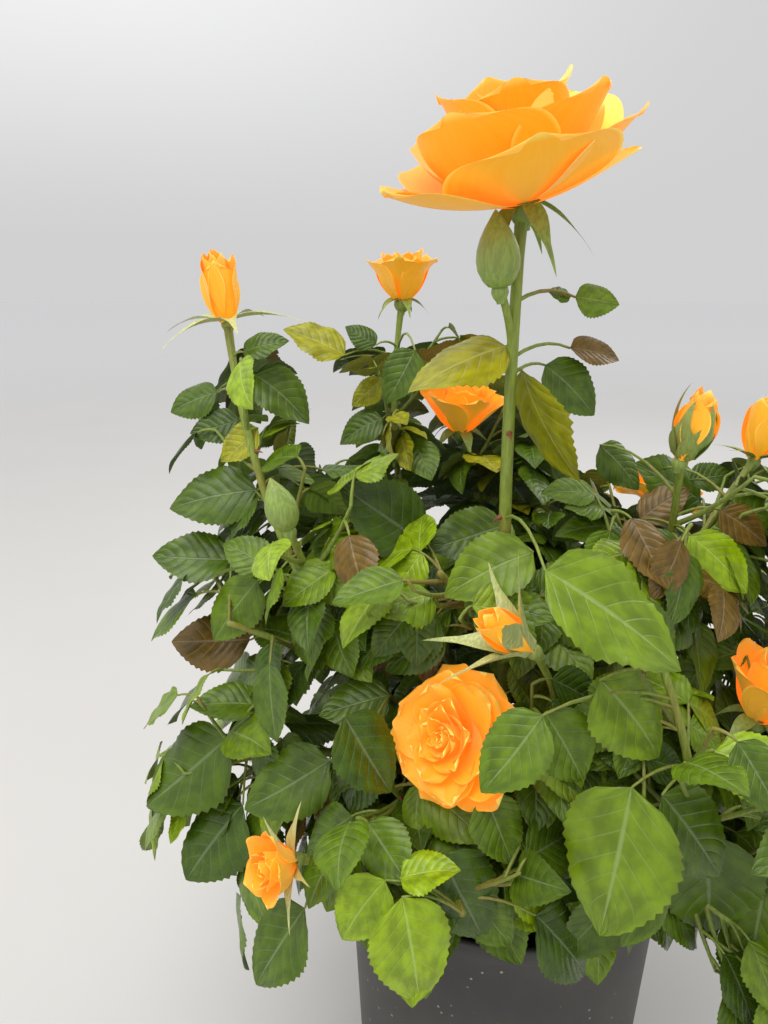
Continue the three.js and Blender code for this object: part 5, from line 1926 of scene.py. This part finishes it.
def make_trunk():
    """The short stem, lobed and ridged, from its root flare to the graft union."""
    heights = np.linspace(TRUNK_PROFILE[0][0], TRUNK_PROFILE[-1][0], TRUNK_RINGS)
    radii = np.interp(heights, [row[0] for row in TRUNK_PROFILE], [row[1] for row in TRUNK_PROFILE])
    kernel = np.array((1, 2, 3, 2, 1)) / 9
    radii = np.convolve(np.pad(radii, 2, mode="edge"), kernel, mode="valid")
    turns = ring_turns(TRUNK_SIDES)
    base = TRUNK_PROFILE[0][0]
    share = np.clip(1 - (heights - base) / (UNION[2] - SOIL_TOP - base), 0, 1)
    lean = np.stack([share * TRUNK_LEAN[0], share * TRUNK_LEAN[1]], axis=1)
    lobes = 1 + 0.09 * np.sin(turns * 5)
    radius = radii[:, None] * lobes + relief(turns[None], heights[:, None], TRUNK_ROUGHNESS)
    x = lean[:, :1] + radius * np.cos(turns)
    y = lean[:, 1:] + radius * np.sin(turns)
    z = np.broadcast_to(SOIL_TOP + heights[:, None], x.shape)
    rings = np.stack([x, y, z], axis=-1)
    top = rings[-1:].mean(axis=1, keepdims=True) + UP * 1.5
    closed = np.concatenate([rings, np.broadcast_to(top, rings[-1:].shape)])
    build = Build()
    build.add_grids(closed[None], around=True)
    settle(build.piece("trunk_bark", [bark_material()]), ["trunk"])


CANE_STEPS = 46
CANE_RING = 16


def make_canes():
    """Canes and boughs with faint joints and ridges, and the thorns."""
    build = Build()
    for number, cane in enumerate(plant().canes.values()):
        path = path_of(cane.curve, CANE_STEPS)[None]
        share = np.linspace(0, 1, CANE_STEPS)
        radii = mix(cane.foot, cane.end, share)
        joints = np.exp(-((share * 9 + number * 0.37) % 1 - 0.5) ** 2 / 0.004) * 0.28
        turns = ring_turns(CANE_RING)
        skin = np.sin(turns[None] * 3 + share[:, None] * 30 + number) * 0.1
        radii = radii[:, None] + joints[:, None] + skin
        radii[-1] *= 0.4
        build.add_grids(rings_along(path, radii[None], CANE_RING), around=True)
    settle(build.piece("canes", [green_material("cane_skin")]), CANE_NAMES)
    settle(make_thorns().piece("thorns", [green_material("thorn_horn")]), CANE_NAMES)


# Thorns: the stretch of a limb that they stand on, and how many there are
CANE_THORNS = (0.15, 0.95, 9)
STEM_THORNS = (0.08, 0.7, 5)
THORN_SEED = 17


def make_thorns():
    """Hooked thorns on canes and on the lower part of the stems."""
    rng = np.random.default_rng(THORN_SEED)
    build = Build()
    limbs = [(cane, *CANE_THORNS) for cane in plant().canes.values()]
    limbs += [(shoot, *STEM_THORNS) for shoot in plant().shoots]
    paths = []
    radii = []
    for limb, start, stop, count in limbs:
        for number in range(count):
            share = mix(start, stop, (number + rng.uniform(0.1, 0.9)) / count)
            along = limb.curve.along(share)
            out = aside(along, rng.uniform(0, 360), 0)
            foot = limb.curve.at(share) + out * (limb.radius(share) - 0.4)
            length = rng.uniform(3.2, 5.6)
            steps = np.linspace(0, 1, 6)[:, None]
            paths.append(foot + out * (length * steps) - along * (length * 0.45 * steps ** 2))
            radii.append(mix(1.7, 0.08, np.linspace(0, 1, 6) ** 0.7))
    build.add_grids(rings_along(np.array(paths), np.array(radii), 7), around=True)
    return build


def clothed_share(curve, feet):
    """How far along a curve its last leaf or twig stands, as a share of its length, or 0 if it is bare."""
    shares = np.linspace(0, 1, 41)
    path = path_of(curve, len(shares))
    gaps = np.linalg.norm(path[:, None] - feet[None], axis=-1).min(axis=1)
    return float(np.max(shares * (gaps < FOOT_NEAR)))


def make_stems():
    """Stems and twigs; a twig, or a stem with no flower, ends at its last leaf."""
    spaces = [*plant().spaces, plant().front]
    feet = np.array([leaf.stalk[0] for space in spaces for leaf in space.leaves])
    twigs = [(twig, clothed_share(twig, feet)) for space in spaces for twig in space.twigs]
    twigs = [(twig, share) for twig, share in twigs if share > 0]
    feet = np.concatenate([feet, [twig.at(0) for twig, _ in twigs]])
    build = Build()
    for shoot, row in zip(plant().shoots, SHOOTS):
        if "blossom" in row:
            add_stem(build, shoot)
        else:
            add_stem(build, shoot, max(LEAST_STEM, clothed_share(shoot.curve, feet)), 1)
        for bud in row.get("buds", []):
            add_stem(build, bud_stalk(shoot, bud))
    settle(build.piece("shoot_stems", [green_material("stem_skin")]), SHOOT_NAMES)
    build = Build()
    for twig, share in twigs:
        path = path_of(twig, 9, 0, share)[None]
        radii = np.linspace(TWIG_RADIUS, TWIG_END, 9)[None]
        build.add_grids(rings_along(*round_end(path, radii), 7), around=True)
    settle(build.piece("twigs", [green_material("twig_skin")]), SHOOT_NAMES)


def add_stem(build, stem, stop=1, swell=1.3):
    """A stem that swells under its flower, if it has one."""
    path = path_of(stem.curve, 30, 0, stop)[None]
    radii = mix(stem.foot, stem.end, np.linspace(0, 1, 30))[None].copy()
    radii[0, -3:] *= np.linspace(1, swell, 4)[1:]
    build.add_grids(rings_along(*round_end(path, radii), 10), around=True)


def make_leaves(settings):
    """All leaves in pieces by tint, and their stalks in one piece."""
    rng = np.random.default_rng(settings.seed)
    sprays = {tint: [] for tint in LEAF_TINTS}
    everything = []
    for row, space in zip(SHOOTS, plant().spaces):
        for leaf in space.leaves:
            sprays[tint_of(leaf, row, rng)].append(leaf)
            everything.append(leaf)
    for leaf in plant().front.leaves:
        sprays[leaf.tint].append(leaf)
        everything.append(leaf)
    for tint, leaves in sprays.items():
        for number, start in enumerate(range(0, len(leaves), PIECE_LEAVES)):
            build = Build()
            some = leaves[start:start + PIECE_LEAVES]
            build.add_grids(*leaflet_meshes(some, rng, settings.fold, settings.curl))
            piece = build.piece(f"leaves_{tint}_{number + 1}", [leaf_material(tint)], tile=True)
            settle(piece, SHOOT_NAMES)
    stalks = Build()
    stalks.add_grids(leaf_stalk_rings(everything), around=True)
    settle(stalks.piece("leaf_stalks", [green_material("leaf_stalk_skin")]), SHOOT_NAMES)


def make_blooms(settings):
    """The petals of each blossom in a piece of its own, and all calyxes in one piece."""
    outer = petal_material("petal_outer", settings.face, settings.back, settings)
    inner = petal_material("petal_inner", settings.inner, settings.back, settings)
    # The pale finish is painted backlight on the open bloom's outer petals
    pale = petal_material("petal_painted_backlight", settings.pale, settings.pale, settings)
    rng = np.random.default_rng(settings.seed)
    calyxes = Build()
    for name, kind, width, lean, seat in blossoms():
        width = width * settings.size
        frame = FlowerFrame(seat, lean)
        build = Build()
        build_petals(build, kind, width, frame, rng)
        piece = build.piece(name.replace("shoot_", "petals_"), [outer, inner, pale], tile=True)
        settle(piece, [name.removesuffix("_bud") if name not in SHOOT_NAMES else name])
        build_calyx(calyxes, name, kind, width, frame, rng)
    skins = [green_material("calyx_skin"), green_material("pale_calyx_skin")]
    settle(calyxes.piece("calyxes", skins), SHOOT_NAMES)


# Stage


# Half the side of the floor, in millimetres, and the strength of the sky's lowest part, as a share of the
# room light, at which floor and backdrop meet with no line
FLOOR_HALF = 12000
SKY_LOW = 0.79


def make_stage(settings):
    """The floor, the light all round, two soft lights and the camera."""
    build = Build()
    half = FLOOR_HALF
    corners = vector(((-half, -half, 0), (half, -half, 0), (half, half, 0), (-half, half, 0)))
    build.add(corners, np.array([(0, 1, 2, 3)]))
    build.piece("studio_floor", [floor_material()])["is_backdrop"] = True
    make_world(settings.sky)
    place_light("light_above", (-0.5, -0.7, 2.3), (0.0, 0.0, 0.35), 1.6, settings.key, (1.0, 0.985, 0.96))
    place_light(
        "light_back_right", (1.4, 1.3, 1.6), (0.0, 0.0, 0.45), 1.2, settings.key * 0.4, (1.0, 0.98, 0.94)
    )
    add_camera()
    bpy.context.scene.view_settings.view_transform = "Standard"


def make_world(sky):
    """Light from all round, brighter from the left than from the right, and even at the horizon."""
    world = bpy.data.worlds.new("studio light")
    world.use_nodes = True
    nodes = Nodes(world.node_tree)
    background = world.node_tree.nodes["Background"]
    background.inputs["Color"].default_value = (0.945, 0.945, 0.95, 1)
    way = nodes.new("ShaderNodeSeparateXYZ")
    nodes.feed(way.inputs[0], nodes.new("ShaderNodeTexCoord").outputs["Generated"])
    low = sky * SKY_LOW
    rise = nodes.band(way.outputs[2], 0.0, 0.35)
    top = nodes.band(way.outputs[0], -0.3, 0.5, sky * 1.15, sky * 0.8)
    strength = nodes.math("MULTIPLY", rise, nodes.math("SUBTRACT", top, low))
    nodes.feed(background.inputs["Strength"], nodes.math("ADD", strength, low))
    bpy.context.scene.world = world


def place_light(name, place, target, size, power, tint):
    """A square soft light at a place in metres, turned to its target."""
    lamp = bpy.data.lights.new(name, "AREA")
    lamp.size = size
    lamp.energy = power
    lamp.color = tint
    light = bpy.data.objects.new(name, lamp)
    light.location = place
    aim = Vector(target) - Vector(place)
    light.rotation_euler = aim.to_track_quat("-Z", "Y").to_euler()
    bpy.context.scene.collection.objects.link(light)


def add_camera():
    """The camera stands where the photograph was taken from."""
    lens = bpy.data.cameras.new("camera")
    lens.sensor_fit = "AUTO"
    lens.sensor_width = 36
    lens.lens = CAMERA_FOCUS * lens.sensor_width / max(CAMERA_FRAME)
    camera = bpy.data.objects.new("camera", lens)
    camera.location = CAMERA_PLACE * MM
    camera.rotation_euler = (math.radians(90 - CAMERA_DOWN), 0, 0)
    bpy.context.scene.collection.objects.link(camera)
    bpy.context.scene.camera = camera


# Settings, operators and panel


class RosePotSettings(bpy.types.PropertyGroup):
    """How the pot is made, and the bark on its compost."""

    wall: bpy.props.FloatProperty(
        name="Wall", description="Thickness of the pot's wall", default=0.0018, min=0.0005, unit="LENGTH"
    )
    holes: bpy.props.IntProperty(
        name="Drain holes", description="How many holes the pot's floor has", default=6, min=1
    )
    hole_radius: bpy.props.FloatProperty(
        name="Hole radius", description="Radius of a drain hole", default=0.007, min=0.001, unit="LENGTH"
    )
    plastic: bpy.props.FloatVectorProperty(
        name="Plastic", description="Colour of the pot", default=colour(66, 63, 60), subtype="COLOR"
    )
    shade: bpy.props.FloatVectorProperty(
        name="Dark plastic",
        description="Colour of the pot's darker clouds",
        default=colour(50, 48, 46),
        subtype="COLOR",
    )
    specks: bpy.props.FloatVectorProperty(
        name="Specks",
        description="Colour of the pot's pale specks",
        default=colour(176, 168, 152),
        subtype="COLOR",
    )
    chips: bpy.props.IntProperty(
        name="Bark chips", description="How many chips of bark lie on the compost", default=420, min=1
    )


class RoseLeafSettings(bpy.types.PropertyGroup):
    """How the leaves are shaped and dealt out."""

    seed: bpy.props.IntProperty(
        name="Seed", description="Deals the tints and the small differences", default=5
    )
    fold: bpy.props.FloatProperty(
        name="Fold",
        description="How far the halves of a leaflet rise from its midrib",
        default=0.32,
        subtype="FACTOR",
    )
    curl: bpy.props.FloatProperty(
        name="Curl", description="How far a leaflet's edges turn down", default=0.12, subtype="FACTOR"
    )


class RoseBloomSettings(bpy.types.PropertyGroup):
    """How the petals are dealt out, sized and coloured."""

    seed: bpy.props.IntProperty(name="Seed", description="Turns and ruffles the petals", default=8)
    size: bpy.props.FloatProperty(
        name="Size",
        description="Size of the blooms and buds, as a share of the photograph's",
        default=1,
        min=0.5,
        max=1.5,
        subtype="FACTOR",
    )
    face: bpy.props.FloatVectorProperty(
        name="Petal face",
        description="Colour of the outer petals",
        default=colour(253, 178, 32),
        subtype="COLOR",
    )
    inner: bpy.props.FloatVectorProperty(
        name="Inner petals",
        description="Colour of the petals round the heart",
        default=colour(252, 177, 40),
        subtype="COLOR",
    )
    # Painted backlight: the paler colour of the open bloom's outer petals that face the pale side
    pale: bpy.props.FloatVectorProperty(
        name="Lit petals",
        description="Colour of the open bloom's petals that light shines through",
        default=colour(254, 226, 112),
        subtype="COLOR",
    )
    base: bpy.props.FloatVectorProperty(
        name="Petal base",
        description="Colour of a petal near its foot",
        default=colour(250, 172, 20),
        subtype="COLOR",
    )
    rim: bpy.props.FloatVectorProperty(
        name="Petal rim",
        description="Colour of a petal's thin pale rim",
        default=colour(255, 224, 104),
        subtype="COLOR",
    )
    back: bpy.props.FloatVectorProperty(
        name="Petal back",
        description="Colour of the back of a petal",
        default=colour(255, 158, 16),
        subtype="COLOR",
    )
    # Painted glow: the petal's colour given off as a faint light, in place of the light that a petal lets
    # through
    glow: bpy.props.FloatProperty(
        name="Glow",
        description="The light that a petal lets through, as a faint light of its own",
        default=0.23,
        min=0,
        max=1,
        subtype="FACTOR",
    )


class RoseStageSettings(bpy.types.PropertyGroup):
    """The studio light."""

    key: bpy.props.FloatProperty(
        name="Key light", description="Power of the soft light above", default=28, unit="POWER"
    )
    sky: bpy.props.FloatProperty(
        name="Room light", description="Strength of the light all round", default=0.85
    )


class ROSE_OT_pot(bpy.types.Operator):
    """Build the nursery pot with its lip and drain holes"""

    bl_idname = "rose.pot"
    bl_label = "Nursery Pot"
    bl_options = {"REGISTER", "UNDO"}

    def execute(self, context):
        make_pot(context.scene.rose_pot)
        return {"FINISHED"}


class ROSE_OT_compost(bpy.types.Operator):
    """Fill the pot with compost and bark chips"""

    bl_idname = "rose.compost"
    bl_label = "Compost"
    bl_options = {"REGISTER", "UNDO"}

    def execute(self, context):
        make_compost(context.scene.rose_pot)
        return {"FINISHED"}


class ROSE_OT_trunk(bpy.types.Operator):
    """Build the short stem with its bark and graft union"""

    bl_idname = "rose.trunk"
    bl_label = "Trunk"
    bl_options = {"REGISTER", "UNDO"}

    def execute(self, context):
        make_trunk()
        return {"FINISHED"}


class ROSE_OT_canes(bpy.types.Operator):
    """Grow the canes and boughs with their thorns"""

    bl_idname = "rose.canes"
    bl_label = "Canes and Thorns"
    bl_options = {"REGISTER", "UNDO"}

    def execute(self, context):
        make_canes()
        return {"FINISHED"}


class ROSE_OT_stems(bpy.types.Operator):
    """Grow the stems of the shoots and their side twigs"""

    bl_idname = "rose.stems"
    bl_label = "Stems and Twigs"
    bl_options = {"REGISTER", "UNDO"}

    def execute(self, context):
        make_stems()
        return {"FINISHED"}


class ROSE_OT_leaves(bpy.types.Operator):
    """Clothe the plant with leaves, dealt out by tint"""

    bl_idname = "rose.leaves"
    bl_label = "Leaves"
    bl_options = {"REGISTER", "UNDO"}

    def execute(self, context):
        make_leaves(context.scene.rose_leaves)
        return {"FINISHED"}


class ROSE_OT_blooms(bpy.types.Operator):
    """Set the blooms and buds on their stems"""

    bl_idname = "rose.blooms"
    bl_label = "Blooms and Buds"
    bl_options = {"REGISTER", "UNDO"}

    def execute(self, context):
        make_blooms(context.scene.rose_blooms)
        return {"FINISHED"}


class ROSE_OT_stage(bpy.types.Operator):
    """Lay the floor and set the lights and the camera"""

    bl_idname = "rose.stage"
    bl_label = "Stage"
    bl_options = {"REGISTER", "UNDO"}

    def execute(self, context):
        make_stage(context.scene.rose_stage)
        return {"FINISHED"}


class ROSE_PT_panel(bpy.types.Panel):
    """Sidebar panel with the settings and the steps of the plant"""

    bl_label = "Potted Rose Bush"
    bl_idname = "ROSE_PT_panel"
    bl_space_type = "VIEW_3D"
    bl_region_type = "UI"
    bl_category = "Rose"

    def draw(self, context):
        for group in GROUPS:
            settings = getattr(context.scene, group)
            box = self.layout.box()
            for name in settings.bl_rna.properties.keys():
                if name not in ("rna_type", "name"):
                    box.prop(settings, name)
        for operator in OPERATORS:
            self.layout.operator(operator.bl_idname)


GROUPS = {
    "rose_pot": RosePotSettings,
    "rose_leaves": RoseLeafSettings,
    "rose_blooms": RoseBloomSettings,
    "rose_stage": RoseStageSettings,
}
OPERATORS = (
    ROSE_OT_stage,
    ROSE_OT_pot,
    ROSE_OT_compost,
    ROSE_OT_trunk,
    ROSE_OT_canes,
    ROSE_OT_stems,
    ROSE_OT_leaves,
    ROSE_OT_blooms,
)


def register():
    for name, group in GROUPS.items():
        bpy.utils.register_class(group)
        setattr(bpy.types.Scene, name, bpy.props.PointerProperty(type=group))
    for operator in OPERATORS:
        bpy.utils.register_class(operator)
    bpy.utils.register_class(ROSE_PT_panel)


def unregister():
    bpy.utils.unregister_class(ROSE_PT_panel)
    for operator in reversed(OPERATORS):
        bpy.utils.unregister_class(operator)
    for name, group in GROUPS.items():
        delattr(bpy.types.Scene, name)
        bpy.utils.unregister_class(group)


def main():
    """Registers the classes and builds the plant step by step."""
    register()
    for operator in OPERATORS:
        category, step = operator.bl_idname.split(".")
        getattr(getattr(bpy.ops, category), step)()
    sizes = {"solids": CAD_BOX, "pieces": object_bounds()}
    {name: [list(corner) for corner in box] for name, box in sizes.items()}


if __name__ == "__main__":
    main()
